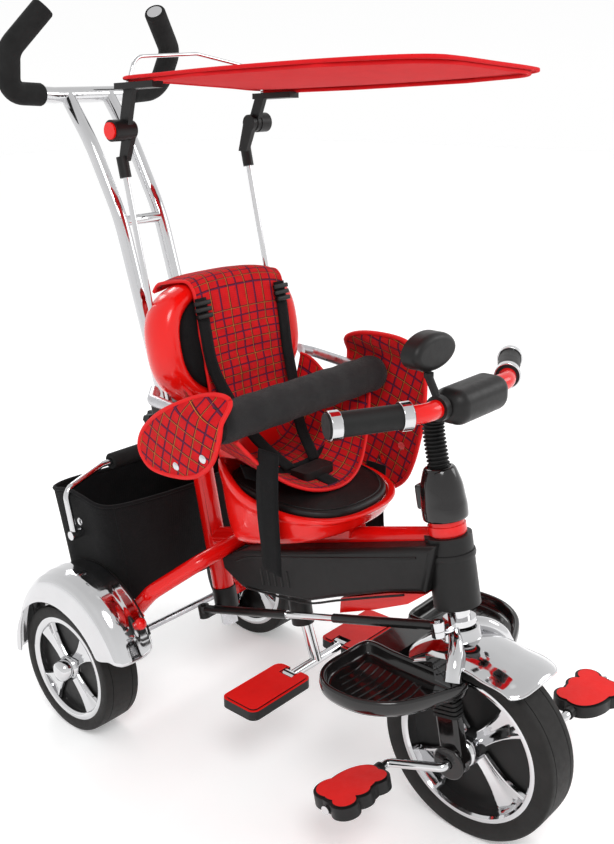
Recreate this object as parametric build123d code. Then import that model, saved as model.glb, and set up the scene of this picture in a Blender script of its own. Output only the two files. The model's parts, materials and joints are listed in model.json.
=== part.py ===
from build123d import *
from math import cos, radians, sin, tan
import os

# Driving dimensions, in millimetres. X runs across the tricycle (the rider's right is -X),
# Y runs backwards, Z up. Everything is laid out from the front axle and moved once, on export,
# so that the middle of the whole tricycle stands over the origin.
FRONT_TYRE_R = 130
FRONT_TYRE_WIDTH = 60
FRONT_RIM_R = 105
REAR_TYRE_R = 103
REAR_TYRE_WIDTH = 62
REAR_RIM_R = 86
REAR_HUB_HALF = 29
WHEELBASE = 604
REAR_TRACK = 394
RAKE = 11
REAR_POST_Y = 470
REAR_POST_Z = 143
AXLE_R = 6
RUNNING_FIT = 0.05
SOFT_GAP = 0.3

STEERER_R = 15
HEAD_TUBE_R = 23
HEAD_BORE_R = 19
HEAD_LOW = 196
HEAD_HIGH = 316
HEAD_COVER_R = 31
HEAD_COVER_HIGH = 292

MAIN_TUBE_R = 14
MAIN_TUBE_FRONT_Z = 412
MAIN_TUBE_SLOPE = 16.2
SHROUD_HALF = 44
SHROUD_WALL = 3

POST_R = 12.5
SLEEVE_R = 17
SLEEVE_LOW = 58
SLEEVE_HIGH = 262

ARCH_R = 12
ARCH_FOOT_X = 150
AXLE_HALF = 238

FORK_X = 50
FORK_BAR = (8, 24)
CROWN_LOW = FRONT_TYRE_R + 4.5
CROWN_HIGH = CROWN_LOW + 8
CRANK_RADIUS = 76
CRANK_DROP = 12
CRANK_END_X = 224
PEDAL_IN_X = 112
PEDAL_OUT_X = 227
PEDAL_HALF = 8
PEDAL_TREAD = 2
PEDAL_TILT = 12

TRAY_TOP = FRONT_TYRE_R + 118
TRAY_LOW = TRAY_TOP - 24
TRAY_FLOOR = TRAY_LOW + 5
TRAY_WALL = 4

SEAT_HALF = 112
SEAT_FRONT = 152
SEAT_REAR = 400
SEAT_RIM = 13
SEAT_GAP = 5
PAD_RISE = 9
BUCKLE_REAR = 301
BUCKLE_DEPTH = 30
BUCKLE_Z = 445.5

BACK_WIDTH = 300
BACK_THICK = 60
BACK_HEIGHT = 190
BACK_LEAN = 10
BACK_EDGE_R = 24
BACK_CENTRE = (0, 455, 615)
COVER_HALF = 96
COVER_THICK = 3

ROD_X = 118
ROD_R = 4
ROD_FOOT = (450, 540)
ROD_HEAD = (519, 872)
KNOB_Y = 504
KNOB_Z = 911
CANOPY_ROLL = 4
CANOPY_PITCH = 2.4
CANOPY_LENGTH = 470
CANOPY_HALF = 146
CANOPY_REAR_HALF = 125
CANOPY_CLIP_Y = 487
CANOPY_CLIP_Z = 963
CANOPY_THICK = 3
WIRE_R = 2.5

HANDLE_TUBE_R = 11
TOP_BAR_R = 12
HANDLE_TUBE_X = 38.5
HANDLE_GRIP_R = 16.5

BAR_BACK_Y = 742
CENTRE_Y = (BAR_BACK_Y + HANDLE_GRIP_R - FRONT_TYRE_R) / 2

LINK_X = -48
LINK_R = 6.5
LINK_REAR_S = 37
LINK_FRONT_S = 184
STEM_HIGH = 380

BASKET_REAR = 690
BASKET_LOW = 210
BASKET_HIGH = 372
BASKET_LOW_HALF = 156
BASKET_HIGH_HALF = 180
BASKET_WALL = 4
BAIL_Y = 606
BAIL_Z = 318
BAIL_TOP = 408

GUARD_Y = 307
GUARD_Z = 551
GUARD_R = 8
GUARD_PAD_R = 27
GUARD_X = 166
PANEL_X = GUARD_X + GUARD_R + SOFT_GAP
PANEL_THICK = 3.5

FOOT_BAR_Y = 284
FOOT_BAR_Z = 140
FOOT_HINGE_X = 58
FOOT_LUG = 10
FOOT_PAD_IN = 46
FOOT_PAD_OUT = 168
FOOT_PAD_WIDE = 66

BASKET_FRONT = (REAR_POST_Y + (BASKET_HIGH - REAR_POST_Z) * tan(radians(RAKE))
                + SLEEVE_R / cos(radians(RAKE)) + SOFT_GAP)

STEER = Plane(origin=(0, 0, FRONT_TYRE_R), x_dir=(1, 0, 0),
              z_dir=(0, sin(radians(RAKE)), cos(radians(RAKE))))
POST = Plane(origin=(0, REAR_POST_Y, REAR_POST_Z), x_dir=(1, 0, 0),
             z_dir=(0, sin(radians(RAKE)), cos(radians(RAKE))))

def along(plane, height, x=0, y=0):
    """A point on a raked plane, height along its axis."""
    return plane.from_local_coords(Vector(x, y, height))


def rod(start, end, radius, bore=0):
    """A round bar between two points, bored through if asked."""
    start, end = Vector(*start), Vector(*end)
    base = Plane(origin=start, z_dir=end - start)
    section = Circle(radius) - Circle(bore) if bore else Circle(radius)
    return extrude(base * section, (end - start).length)


def bent(points, radius, bend, bore=0):
    """A round tube that follows straight runs joined by arcs."""
    path = FilletPolyline(*points, radius=bend)
    base = Plane(origin=path @ 0, z_dir=path % 0)
    section = Circle(radius) - Circle(bore) if bore else Circle(radius)
    return sweep(base * section, path=path)


def ring(plane, low, high, outer, inner=0):
    """A disc or ring along a raked axis, between two heights."""
    section = Circle(outer) - Circle(inner) if inner else Circle(outer)
    return extrude(plane.offset(low) * section, high - low)


def side_plate(points, left, right):
    """An outline in the Y-Z plane, from x = left to x = right."""
    face = make_face(Polyline(*[(0, y, z) for y, z in points], close=True))
    return Pos(left, 0, 0) * extrude(face, right - left, dir=(1, 0, 0))


def across(y, z, left, right, radius, bore=0):
    """A round bar lying along X."""
    return rod((left, y, z), (right, y, z), radius, bore)


def mirrored(shape):
    """The same shape on the rider's other side."""
    return mirror(shape, about=Plane.YZ)


def both(shape):
    """A piece and its mirror image, as one group."""
    return Compound(children=[shape, mirrored(shape)])


# ---- Frame -----------------------------------------------------------------------------

def main_tube_z(y):
    """Height of the main tube's centre line."""
    return MAIN_TUBE_FRONT_Z - tan(radians(MAIN_TUBE_SLOPE)) * (y - 53)


def head_shell():
    body = ring(STEER, HEAD_LOW, HEAD_HIGH, HEAD_TUBE_R)
    return body + ring(STEER, HEAD_COVER_HIGH + 2, HEAD_COVER_HIGH + 14, HEAD_TUBE_R + 2)


def head_bushes():
    low = ring(STEER, HEAD_LOW, HEAD_LOW + 18, HEAD_BORE_R, STEERER_R + RUNNING_FIT)
    high = ring(STEER, HEAD_HIGH - 18, HEAD_HIGH, HEAD_BORE_R, STEERER_R + RUNNING_FIT)
    return Compound(children=[low, high])


def tube_line():
    """The main tube as a plain bar from the head to the rear sleeve."""
    rear_y = along(POST, 160).Y
    return rod((0, 53, main_tube_z(53)), (0, rear_y, main_tube_z(rear_y)), MAIN_TUBE_R)


def main_frame():
    """The welded spine: head tube, main tube, rear sleeve and seat saddle."""
    body = tube_line() + head_shell() + ring(POST, SLEEVE_LOW, SLEEVE_HIGH, SLEEVE_R)
    body += seat_saddle()
    body -= ring(STEER, HEAD_LOW - 1, HEAD_HIGH + 1, HEAD_BORE_R)
    return body - ring(POST, SLEEVE_LOW - 1, SLEEVE_HIGH + 1, POST_R + RUNNING_FIT)


def arch_half():
    """One side of the rear arch, with its axle boss and its fender bracket."""
    tube = bent([(0, 425, main_tube_z(425)), (90, 440, 285), (140, 490, 240),
                 (ARCH_FOOT_X, WHEELBASE - 69, 186), (ARCH_FOOT_X, WHEELBASE, REAR_TYRE_R)], ARCH_R, 38)
    tube += across(WHEELBASE, REAR_TYRE_R, ARCH_FOOT_X - 12, ARCH_FOOT_X + 12, 16)
    spacer_end = REAR_TRACK / 2 - REAR_HUB_HALF - SOFT_GAP
    tube += across(WHEELBASE, REAR_TYRE_R, ARCH_FOOT_X + 12, spacer_end, 9)
    tube += fender_bracket()
    tube -= across(WHEELBASE, REAR_TYRE_R, 0, AXLE_HALF, AXLE_R)
    return tube - tube_line() - ring(POST, SLEEVE_LOW, SLEEVE_HIGH, SLEEVE_R)


def fender_bracket():
    """The tab under a rear fender, with the stud that the fender is riveted to."""
    place = Pos(FENDER_IN_X - 5, WHEELBASE - 85, 199) * Rot(X=38)
    stud = place * Pos(14, 0, 2.5) * Cylinder(5, 60, align=(Align.CENTER, Align.CENTER, Align.MIN))
    return place * Box(44, 22, 5) + (stud & extrude(fender_ellipse(0, FENDER_SKIN), 300))


def rear_arch():
    return both(arch_half())


def rear_axle():
    return across(WHEELBASE, REAR_TYRE_R, -AXLE_HALF, AXLE_HALF, AXLE_R)


def shroud_outline(inset=0):
    """Side view of the moulded cover under the seat."""
    outline = [(48, 414), (395, 303), (434, 280), (430, 264), (384, 242), (258, 265),
               (208, 288), (120, 326), (60, 346)]
    face = make_face(Polyline(*[(0, y, z) for y, z in outline], close=True))
    return offset(face, -inset) if inset else face


def shroud():
    """The black moulded cover: head barrel in front, hollow body round the main tube."""
    body = extrude(shroud_outline(), SHROUD_HALF, dir=(1, 0, 0), both=True)
    long_edges = body.edges().filter_by(lambda e: e.length > 60)
    body = fillet([e for e in long_edges if abs(abs(e.center().X) - SHROUD_HALF) < 0.1], 8)
    body += ring(STEER, HEAD_LOW, HEAD_COVER_HIGH, HEAD_COVER_R)
    hollow = extrude(shroud_outline(SHROUD_WALL), SHROUD_HALF - SHROUD_WALL,
                     dir=(1, 0, 0), both=True)
    body -= hollow - ring(STEER, 0, HEAD_HIGH + 40, HEAD_COVER_R)
    slot = Pos(0, 250, 0) * Box(2 * MAIN_TUBE_R + 4, 420, 1000)
    top = side_plate([(20, main_tube_z(20)), (470, main_tube_z(470)), (470, 500), (20, 500)],
                     -MAIN_TUBE_R - 2, MAIN_TUBE_R + 2)
    body -= slot & top
    body -= tube_line() + ring(STEER, 0, HEAD_HIGH, HEAD_TUBE_R)
    body -= arch_half() + mirrored(arch_half())
    body += footrest_collar()
    return body - footrest()


def shroud_insert():
    """The red wedge under the cover, between its step and its neck."""
    wedge = side_plate([(206, 286), (208, 262), (150, 287), (92, 316), (62, 341), (120, 323)],
                       -SHROUD_HALF + 9, SHROUD_HALF - 9)
    return wedge - ring(STEER, 0, HEAD_COVER_HIGH, HEAD_COVER_R)


def footrest_collar():
    """The socket under the cover that the footrest post stands in."""
    body = rod((0, 322, 268), (0, 309, 196), 17)
    return body - extrude(shroud_outline(), SHROUD_HALF, dir=(1, 0, 0), both=True)


# ---- Rear fenders and basket ------------------------------------------------------------

FENDER_IN_X = 168
FENDER_OUT_X = 235
FENDER_CENTRE = (WHEELBASE - 19, REAR_TYRE_R + 2)
FENDER_REACH = 140
FENDER_RISE = 166
FENDER_SKIN = 2.5


def fender_ellipse(x, inset=0):
    """The fender's side outline, on a plane across X."""
    y, z = FENDER_CENTRE
    base = Plane(origin=(x, y, z), x_dir=(0, 1, 0), z_dir=(1, 0, 0))
    return base * Ellipse(FENDER_REACH - inset, FENDER_RISE - inset)


def fender():
    """One rear fender: an arched band with an outer skirt over the tyre."""
    y, z = FENDER_CENTRE
    outer = fender_ellipse(FENDER_IN_X)
    inner = fender_ellipse(FENDER_IN_X, FENDER_SKIN)
    width = FENDER_OUT_X - FENDER_IN_X
    band = extrude(outer - inner, width)
    skirt_low = Plane(origin=(FENDER_IN_X, WHEELBASE, REAR_TYRE_R), x_dir=(0, 1, 0),
                      z_dir=(1, 0, 0)) * Circle(REAR_TYRE_R + 8)
    skirt = extrude(outer - skirt_low, width) & Pos(FENDER_OUT_X - FENDER_SKIN / 2, y, z) * Box(
        FENDER_SKIN, 400, 400)
    body = band + skirt
    body -= Pos(200, y - 150, z - 70) * Box(100, 300, 260)
    return body - Pos(200, y + 150, z - 100) * Box(100, 300, 200)


def basket():
    """The cloth box behind the seat, open on top."""
    length = BASKET_REAR - BASKET_FRONT
    middle = (BASKET_REAR + BASKET_FRONT) / 2

    def box(inset, low):
        bottom = Pos(0, middle, low) * Rectangle(
            2 * (BASKET_LOW_HALF - inset), length - 2 * inset)
        top = Pos(0, middle, BASKET_HIGH) * Rectangle(
            2 * (BASKET_HIGH_HALF - inset), length - 2 * inset)
        return loft([bottom, top])

    return box(0, BASKET_LOW) - box(BASKET_WALL, BASKET_LOW + BASKET_WALL)


def basket_side_x(z):
    """Half width of the basket at a height."""
    share = (z - BASKET_LOW) / (BASKET_HIGH - BASKET_LOW)
    return BASKET_LOW_HALF + share * (BASKET_HIGH_HALF - BASKET_LOW_HALF)


def bail():
    """The basket's carrying handle, a bent chrome rod pivoted at its sides."""
    x = BASKET_HIGH_HALF + 8
    hoop = bent([(-x, BAIL_Y, BAIL_Z), (-x, BAIL_Y + 14, BAIL_TOP - 22),
                 (-118, BAIL_Y + 14, BAIL_TOP), (118, BAIL_Y + 14, BAIL_TOP),
                 (x, BAIL_Y + 14, BAIL_TOP - 22), (x, BAIL_Y, BAIL_Z)], 5, 20)
    pivot = across(BAIL_Y, BAIL_Z, basket_side_x(BAIL_Z + 7) + SOFT_GAP, x + 7, 7)
    return hoop + pivot + mirrored(pivot)


def basket_grip():
    return across(BAIL_Y + 14, BAIL_TOP, -100, 100, 13, 5)


# ---- Seat ------------------------------------------------------------------------------

def seat_plan(inset=0):
    """Plan of the seat tub: round in front, squarer behind."""
    half = SEAT_HALF - inset
    front, rear = SEAT_FRONT + inset, SEAT_REAR - inset
    front_r, rear_r = 96 - inset, 34 - min(inset, 20)
    plan = Pos(0, (front + rear) / 2, 0) * Rectangle(2 * half, rear - front)
    corners = plan.vertices()
    plan = fillet([v for v in corners if v.Y < SEAT_FRONT + 60], front_r)
    corners = plan.vertices()
    return fillet([v for v in corners if v.Y > rear - 0.1 and abs(v.X) > half - 0.1], rear_r)


def seat_top(y):
    """Height of the seat tub's rim."""
    return 414 + (y - SEAT_FRONT) * 0.1


def pad_top(y):
    """Height of the cushion's top."""
    return seat_top(y) + PAD_RISE


def seat_slab(plan, low_gap, top_drop):
    """A slab between the slanting bottom of the tub and its rim."""
    body = extrude(Pos(0, 0, 250) * plan, 260)
    low, high = SEAT_FRONT - 20, SEAT_REAR + 20
    bottom = [(low, 200), (high, 200), (high, main_tube_z(high) + MAIN_TUBE_R + low_gap),
              (low, main_tube_z(low) + MAIN_TUBE_R + low_gap)]
    top = [(low, 600), (high, 600), (high, seat_top(high) - top_drop),
           (low, seat_top(low) - top_drop)]
    body -= side_plate(bottom, -200, 200)
    return body - side_plate(top, -200, 200)


def seat_base():
    body = seat_slab(seat_plan(), SEAT_GAP, 0)
    pocket = extrude(Pos(0, 0, 250) * seat_plan(SEAT_RIM), 260)
    low, high = SEAT_FRONT - 20, SEAT_REAR + 20
    pocket -= side_plate([(low, 200), (high, 200), (high, seat_top(high) - 10),
                          (low, seat_top(low) - 10)], -200, 200)
    return body - pocket


def seat_pad():
    """The vinyl cushion that lies in the tub."""
    body = extrude(Pos(0, 0, 250) * seat_plan(SEAT_RIM + 1), 260)
    low, high = SEAT_FRONT - 20, SEAT_REAR + 20
    body -= side_plate([(low, 200), (high, 200), (high, seat_top(high) - 10 + SOFT_GAP),
                        (low, seat_top(low) - 10 + SOFT_GAP)], -200, 200)
    return body - side_plate([(low, 600), (high, 600), (high, pad_top(high)),
                              (low, pad_top(low))], -200, 200)


def seat_saddle():
    """The bracket that carries the tub on the main tube."""
    body = Pos(0, 270, 360) * Box(36, 130, 200)
    low, high = 190, 350
    body -= side_plate([(low, 200), (high, 200), (high, main_tube_z(high) + 3),
                        (low, main_tube_z(low) + 3)], -50, 50)
    gap = MAIN_TUBE_R + SEAT_GAP
    body -= side_plate([(low, 600), (high, 600), (high, main_tube_z(high) + gap),
                        (low, main_tube_z(low) + gap)], -50, 50)
    return body


def back_frame():
    """Local frame of the backrest: x across, y backwards, z up along the lean."""
    return Pos(*BACK_CENTRE) * Rot(X=-BACK_LEAN)


def back_block(width, thick, height, radius):
    body = Box(width, thick, height)
    return fillet(body.edges(), radius)


def canopy_rod():
    return rod((ROD_X, *ROD_FOOT), (ROD_X, *ROD_HEAD), ROD_R)


def backrest_shell():
    body = back_frame() * back_block(BACK_WIDTH, BACK_THICK, BACK_HEIGHT, BACK_EDGE_R)
    recess = back_frame() * Pos(0, -BACK_THICK / 2, 0) * Box(BACK_WIDTH - 76, 24, BACK_HEIGHT - 44)
    rods = rod((ROD_X, *ROD_FOOT), (ROD_X, *ROD_HEAD), ROD_R)
    return body - recess - rods - mirrored(rods)


def backrest_pad():
    depth = 12 - SOFT_GAP + 4
    body = Box(BACK_WIDTH - 78, depth, BACK_HEIGHT - 46)
    body = fillet(body.edges(), 6)
    return back_frame() * Pos(0, -BACK_THICK / 2 + 12 - SOFT_GAP - depth / 2, 0) * body


def backrest_cover():
    """The plaid cloth: down the front, over the top and a little way down behind."""
    outer = back_block(BACK_WIDTH, BACK_THICK + 10 + 2 * COVER_THICK,
                       BACK_HEIGHT + 2 * SOFT_GAP + 2 * COVER_THICK,
                       BACK_EDGE_R + COVER_THICK)
    inner = back_block(BACK_WIDTH, BACK_THICK + 10, BACK_HEIGHT + 2 * SOFT_GAP, BACK_EDGE_R)
    body = (outer - inner) & Pos(0, 0, 40) * Box(2 * COVER_HALF, 200, BACK_HEIGHT + 60)
    body -= Pos(0, 60, -60) * Box(400, 100, 200)
    return back_frame() * body


def backrest_bracket():
    """The red upright that carries the backrest on the seat tub."""
    foot = [(SEAT_REAR - 9, 432), (SEAT_REAR, 432), (SEAT_REAR, 385), (SEAT_REAR + 12, 385)]
    body = side_plate(foot + [(456, 540), (424, 540), (SEAT_REAR - 9, 452)], -46, 46)
    body -= seat_slab(seat_plan(), SEAT_GAP, 0)
    return body - back_frame() * back_block(BACK_WIDTH, BACK_THICK, BACK_HEIGHT, BACK_EDGE_R)


# ---- Safety bar, side panels and harness ------------------------------------------------

def guard_bar():
    side = [(-132, 455, 575), (-GUARD_X, 428, 562), (-GUARD_X, GUARD_Y, GUARD_Z)]
    far = [(-px, py, pz) for px, py, pz in reversed(side)]
    body = bent(side + far, GUARD_R, 9)
    return body - back_frame() * back_block(BACK_WIDTH, BACK_THICK, BACK_HEIGHT, BACK_EDGE_R)


def guard_pad():
    half = GUARD_X - 10
    return across(GUARD_Y, GUARD_Z, -half, half, GUARD_PAD_R, GUARD_R + SOFT_GAP)


def side_panels():
    """The plaid wings that hang beside the child."""
    right = side_plate([(300, 582), (296, 540), (330, 492), (380, 466), (440, 458), (468, 476),
                       (474, 510), (452, 545), (400, 572), (340, 586)],
                       -PANEL_X - PANEL_THICK, -PANEL_X)

    left = side_plate([(232, 604), (222, 560), (228, 470), (262, 380), (300, 362), (340, 400),
                       (356, 480), (362, 560), (352, 598), (300, 610)],
                      PANEL_X, PANEL_X + PANEL_THICK)
    return Compound(children=[right, left])


def band(points, left, right, thick=2):
    """A flat webbing band that follows straight runs in the Y-Z plane."""
    back = [(y - thick, z) for y, z in reversed(points)]
    return side_plate(points + back, left, right)


def harness_straps():
    """Shoulder bands joined by a hip band, crotch band and two hanging side bands."""
    z = BUCKLE_Z
    shoulder = band([(416, 674), (393, 553), (303, z)], 38, 58)
    worn = shoulder + mirrored(shoulder) + Pos(0, BUCKLE_REAR + 1, z) * Box(116, 2, 14)
    rear, front = BUCKLE_REAR - BUCKLE_DEPTH, BUCKLE_REAR - BUCKLE_DEPTH - 32
    crotch = side_plate([(rear, pad_top(rear) + SOFT_GAP), (rear, pad_top(rear) + 2),
                         (front, pad_top(front) + 2), (front, pad_top(front) + SOFT_GAP)], -12, 12)
    near = Pos(-SEAT_HALF - 1 - SOFT_GAP, 264, 424) * Box(2, 36, 176)
    far = Pos(SEAT_HALF + 1 + SOFT_GAP, 260, 374) * Box(2, 32, 96)
    return Compound(children=[worn, crotch, near, far])


def harness_buckle():
    middle = BUCKLE_REAR - BUCKLE_DEPTH / 2
    body = Pos(0, middle, BUCKLE_Z) * Box(62, BUCKLE_DEPTH, 14)
    return fillet(body.edges().filter_by(Axis.Z).sort_by(Axis.Y)[:2], 8)


# ---- Footrest ---------------------------------------------------------------------------

def footrest():
    body = rod((0, 316, 235), (0, FOOT_BAR_Y, FOOT_BAR_Z), 9)
    body += across(FOOT_BAR_Y, FOOT_BAR_Z, -FOOT_HINGE_X, FOOT_HINGE_X, 7)
    for x in (-FOOT_HINGE_X, FOOT_HINGE_X):
        y, z = FOOT_BAR_Y, FOOT_BAR_Z
        body += rod((x, y - FOOT_LUG, z), (x, y + FOOT_LUG, z), 8)
        body += rod((x, y - 26, z), (x, y + 26, z), 3)
    return body


def footpad():
    """One folding foot pad with its raised tread."""
    length = FOOT_PAD_OUT - FOOT_PAD_IN
    plan = Rectangle(length, FOOT_PAD_WIDE)
    plan = fillet(plan.vertices(), 12)
    body = Pos((FOOT_PAD_OUT + FOOT_PAD_IN) / 2, FOOT_BAR_Y, FOOT_BAR_Z - 8) * extrude(plan, 14)
    body -= Pos(FOOT_HINGE_X - 2, FOOT_BAR_Y, FOOT_BAR_Z) * Box(26, 2 * FOOT_LUG + 0.6, 40)
    tread = fillet(Rectangle(length - 8, FOOT_PAD_WIDE - 8).vertices(), 9)
    tread = Pos((FOOT_PAD_OUT + FOOT_PAD_IN) / 2, FOOT_BAR_Y, FOOT_BAR_Z + 6) * extrude(tread, 2)
    body += tread - Pos(FOOT_HINGE_X - 2, FOOT_BAR_Y, FOOT_BAR_Z) * Box(26, 24, 40)
    x, y, z = FOOT_HINGE_X, FOOT_BAR_Y, FOOT_BAR_Z
    return body - rod((x, y - 26.3, z), (x, y + 26.3, z), 3 + RUNNING_FIT)


# ---- Canopy -----------------------------------------------------------------------------

def canopy_frame():
    """Local frame of the canopy: its plane is level with the wire, y = 0 at the clips."""
    return Pos(0, CANOPY_CLIP_Y, CANOPY_CLIP_Z) * Rot(Y=CANOPY_ROLL) * Rot(X=-CANOPY_PITCH)


def canopy_edge(extra=0):
    """Corner points of the canopy's plan, from the left clip round the front."""
    rear, half, front = CANOPY_REAR_HALF + extra, CANOPY_HALF + extra, -CANOPY_LENGTH - extra
    side = [(-rear, 0), (-half, -150), (-half + 4, -340), (-half + 40, front)]
    return side + [(-x, y) for x, y in reversed(side)]


def canopy_wire():
    hoop = bent([(x, y, 0) for x, y in canopy_edge()], WIRE_R, 60)
    rear = CANOPY_REAR_HALF
    arch = bent([(-rear, 0, 0), (-rear + 14, 3, 32), (0, 6, 44), (rear - 14, 3, 32),
                 (rear, 0, 0)], WIRE_R, 22)
    joints = [Pos(x, 0, 0) * Sphere(WIRE_R + 1) for x in (-rear, rear)]
    return canopy_frame() * (hoop + arch + joints[0] + joints[1])


def canopy_fabric():
    edge = canopy_edge(4)
    path = FilletPolyline(*[(x, y) for x, y in edge], radius=60)
    plan = make_face(path + Line(path @ 1, path @ 0))
    lift = WIRE_R + SOFT_GAP
    body = Pos(0, 0, lift) * extrude(plan, CANOPY_THICK)
    body -= Pos(0, 8, 0) * Box(400, 40, 60)
    return canopy_frame() * body


def clip_z(side):
    """Height of the wire at one clip, which the roll lifts or lowers."""
    return CANOPY_CLIP_Z - side * CANOPY_REAR_HALF * sin(radians(CANOPY_ROLL))


def canopy_arm(side):
    """The black arm from the knob to the wire, with its long clip."""
    left, right = (118.3, 126) if side > 0 else (-126, -118.3)
    z = clip_z(side) - 4
    arm = side_plate([(KNOB_Y - 9, KNOB_Z), (KNOB_Y + 9, KNOB_Z), (CANOPY_CLIP_Y + 9, z),
                      (CANOPY_CLIP_Y - 9, z)], left, right)
    arm += across(KNOB_Y, KNOB_Z, left, right, 13)
    clip = canopy_frame() * Pos(side * 128, -22, -5.6) * Box(18, 76, 8)
    arm += clip
    arm -= across(KNOB_Y, KNOB_Z, left - 1, right + 1, 4 + RUNNING_FIT)
    return arm - canopy_wire()


def rod_socket():
    base, top = Vector(ROD_X, *ROD_FOOT), Vector(ROD_X, *ROD_HEAD)
    up = (top - base).normalized()
    body = rod(top - up * 24, top + up * 4, 8)
    plate = side_plate([(ROD_HEAD[0] - 8, ROD_HEAD[1] - 2), (ROD_HEAD[0] + 8, ROD_HEAD[1] - 2),
                        (KNOB_Y + 11, KNOB_Z), (KNOB_Y - 11, KNOB_Z)], 110, 118)
    body += plate + across(KNOB_Y, KNOB_Z, 110, 118, 12)
    body -= across(KNOB_Y, KNOB_Z, 100, 118.5, 4)
    return body - rod(base, top, ROD_R)


def canopy_knob():
    """The clamp knob: a pin through the joint, a drum and a round cap."""
    body = across(KNOB_Y, KNOB_Z, 110, 126.3, 4)
    body += across(KNOB_Y, KNOB_Z, 126.3, 146, 14)
    return body + across(KNOB_Y, KNOB_Z, 146, 149, 11)


# ---- Push handle and steering link ------------------------------------------------------

def push_post():
    """The steel post, with the nut on its lower end."""
    nut = extrude(POST.offset(-4) * RegularPolygon(14, 6), 18)
    return ring(POST, 14, 335, POST_R) + nut


def push_lever():
    """The rear steering lever, with the thrust collar that bears under the sleeve."""
    body = lever(POST, LINK_REAR_S - 14.5, POST_R, 19, LINK_REAR_S + 8)
    return body + ring(POST, LINK_REAR_S - 6.5, SLEEVE_LOW - 0.5, 19, POST_R)


def lever(plane, low, bore, hub, pin_high):
    """A flat steering lever with an upright pin at its end."""
    body = ring(plane, low, low + 8, hub)
    bar = plane.offset(low) * Pos(LINK_X / 2, 0) * Rectangle(-LINK_X, 16)
    body += extrude(bar, 8)
    tip = plane.offset(low) * Pos(LINK_X, 0) * Circle(9)
    body += extrude(tip, 8)
    body -= ring(plane, low - 1, low + 9, bore)
    pin = plane.offset(low) * Pos(LINK_X, 0) * Circle(4)
    return body + extrude(pin, pin_high - low)


def link_end(plane, height):
    return along(plane, height, LINK_X)


def link_point(share):
    """A point along the link, 0 at its rear pivot and 1 at its front pivot."""
    rear, front = link_end(POST, LINK_REAR_S), link_end(STEER, LINK_FRONT_S)
    return rear + (front - rear) * share


def steering_link():
    """The rod between the two levers, with its eyes and its adjusting turnbuckle."""
    rear = rod(link_point(0), link_point(0.41), LINK_R)
    front = rod(link_point(0.61), link_point(1), LINK_R)
    eyes = []
    for plane, height, body, fit in ((POST, LINK_REAR_S, rear, RUNNING_FIT),
                                     (STEER, LINK_FRONT_S, front, 0.4)):
        eye = extrude(plane.offset(height - 6) * Pos(LINK_X, 0) * Circle(9), 12)
        room = extrude(plane.offset(height - 20) * Pos(LINK_X, 0) * Circle(30), 14)
        room += extrude(plane.offset(height + 6) * Pos(LINK_X, 0) * Circle(30), 14)
        hole = extrude(plane.offset(height - 20) * Pos(LINK_X, 0) * Circle(4 + fit), 40)
        eyes.append((body - room) + eye - hole)
    return eyes[0] + eyes[1] + rod(link_point(0.41), link_point(0.61), 5)


def push_tube():
    return bent([(HANDLE_TUBE_X, 545, 475), (HANDLE_TUBE_X, 632, 778),
                 (HANDLE_TUBE_X, 690, 885), (HANDLE_TUBE_X, BAR_BACK_Y, 953)], HANDLE_TUBE_R, 300)


def bar_points():
    side = [(-101, 692, 1073), (-150, 716, 1016), (-140, 740, 958), (-60, BAR_BACK_Y, 953)]
    return side + [(-x, y, z) for x, y, z in reversed(side)]


def push_tubes():
    """The chrome handle: two rising tubes, a crossbar and the bent top bar."""
    body = push_tube() + mirrored(push_tube())
    body += across(630, 772, -HANDLE_TUBE_X, HANDLE_TUBE_X, 8)
    return body + bent(bar_points(), TOP_BAR_R, 30)


def push_grips():
    points = bar_points()[4:]
    inner, bend = Vector(*points[0]), Vector(*points[1])
    start = inner + (bend - inner) * 0.3
    return both(bent([start] + points[1:], HANDLE_GRIP_R, 30, TOP_BAR_R))


def handle_yoke():
    """The block that joins the post to the two push tubes."""
    body = POST.offset(340) * Pos(0, 6, 0) * Box(112, 50, 64)
    body = fillet(body.edges(), 6)
    body -= ring(POST, 200, 335, POST_R)
    return body - push_tube() - mirrored(push_tube())


def star_knob():
    base = POST.offset(340)
    knob = Plane(origin=base.from_local_coords(Vector(-HANDLE_TUBE_X, 31.5, 0)),
                 x_dir=(1, 0, 0), z_dir=base.y_dir)
    body = extrude(knob * Circle(10), 10)
    star = Circle(17)
    for i in range(6):
        star -= Pos(20 * cos(radians(60 * i)), 20 * sin(radians(60 * i))) * Circle(6)
    return body + extrude(knob.offset(10) * star, 14)


# ---- Steering assembly ------------------------------------------------------------------

def fork_bar_box(low, high, grow=0):
    """One flat fork bar, between two heights along the steering axis."""
    plane = STEER.offset(low) * Pos(FORK_X, 0)
    return extrude(plane * Rectangle(FORK_BAR[0] + grow, FORK_BAR[1] + grow), high - low)


def fork():
    """The welded fork: steerer, crown, two flat bars and the front steering lever."""
    bar = fork_bar_box(0, CROWN_HIGH)
    bar += across(0, FRONT_TYRE_R, FORK_X - 4, FORK_X + 4, 12)
    crown = extrude(STEER.offset(CROWN_LOW) * Rectangle(2 * FORK_X + 8, 44),
                    CROWN_HIGH - CROWN_LOW)
    body = bar + mirrored(bar) + crown
    body += ring(STEER, CROWN_HIGH, STEM_HIGH, STEERER_R)
    body += lever(STEER, LINK_FRONT_S - 14.5, STEERER_R - 1, 22, LINK_FRONT_S + 8)
    return body - across(0, FRONT_TYRE_R, -80, 80, AXLE_R + RUNNING_FIT)


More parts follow.
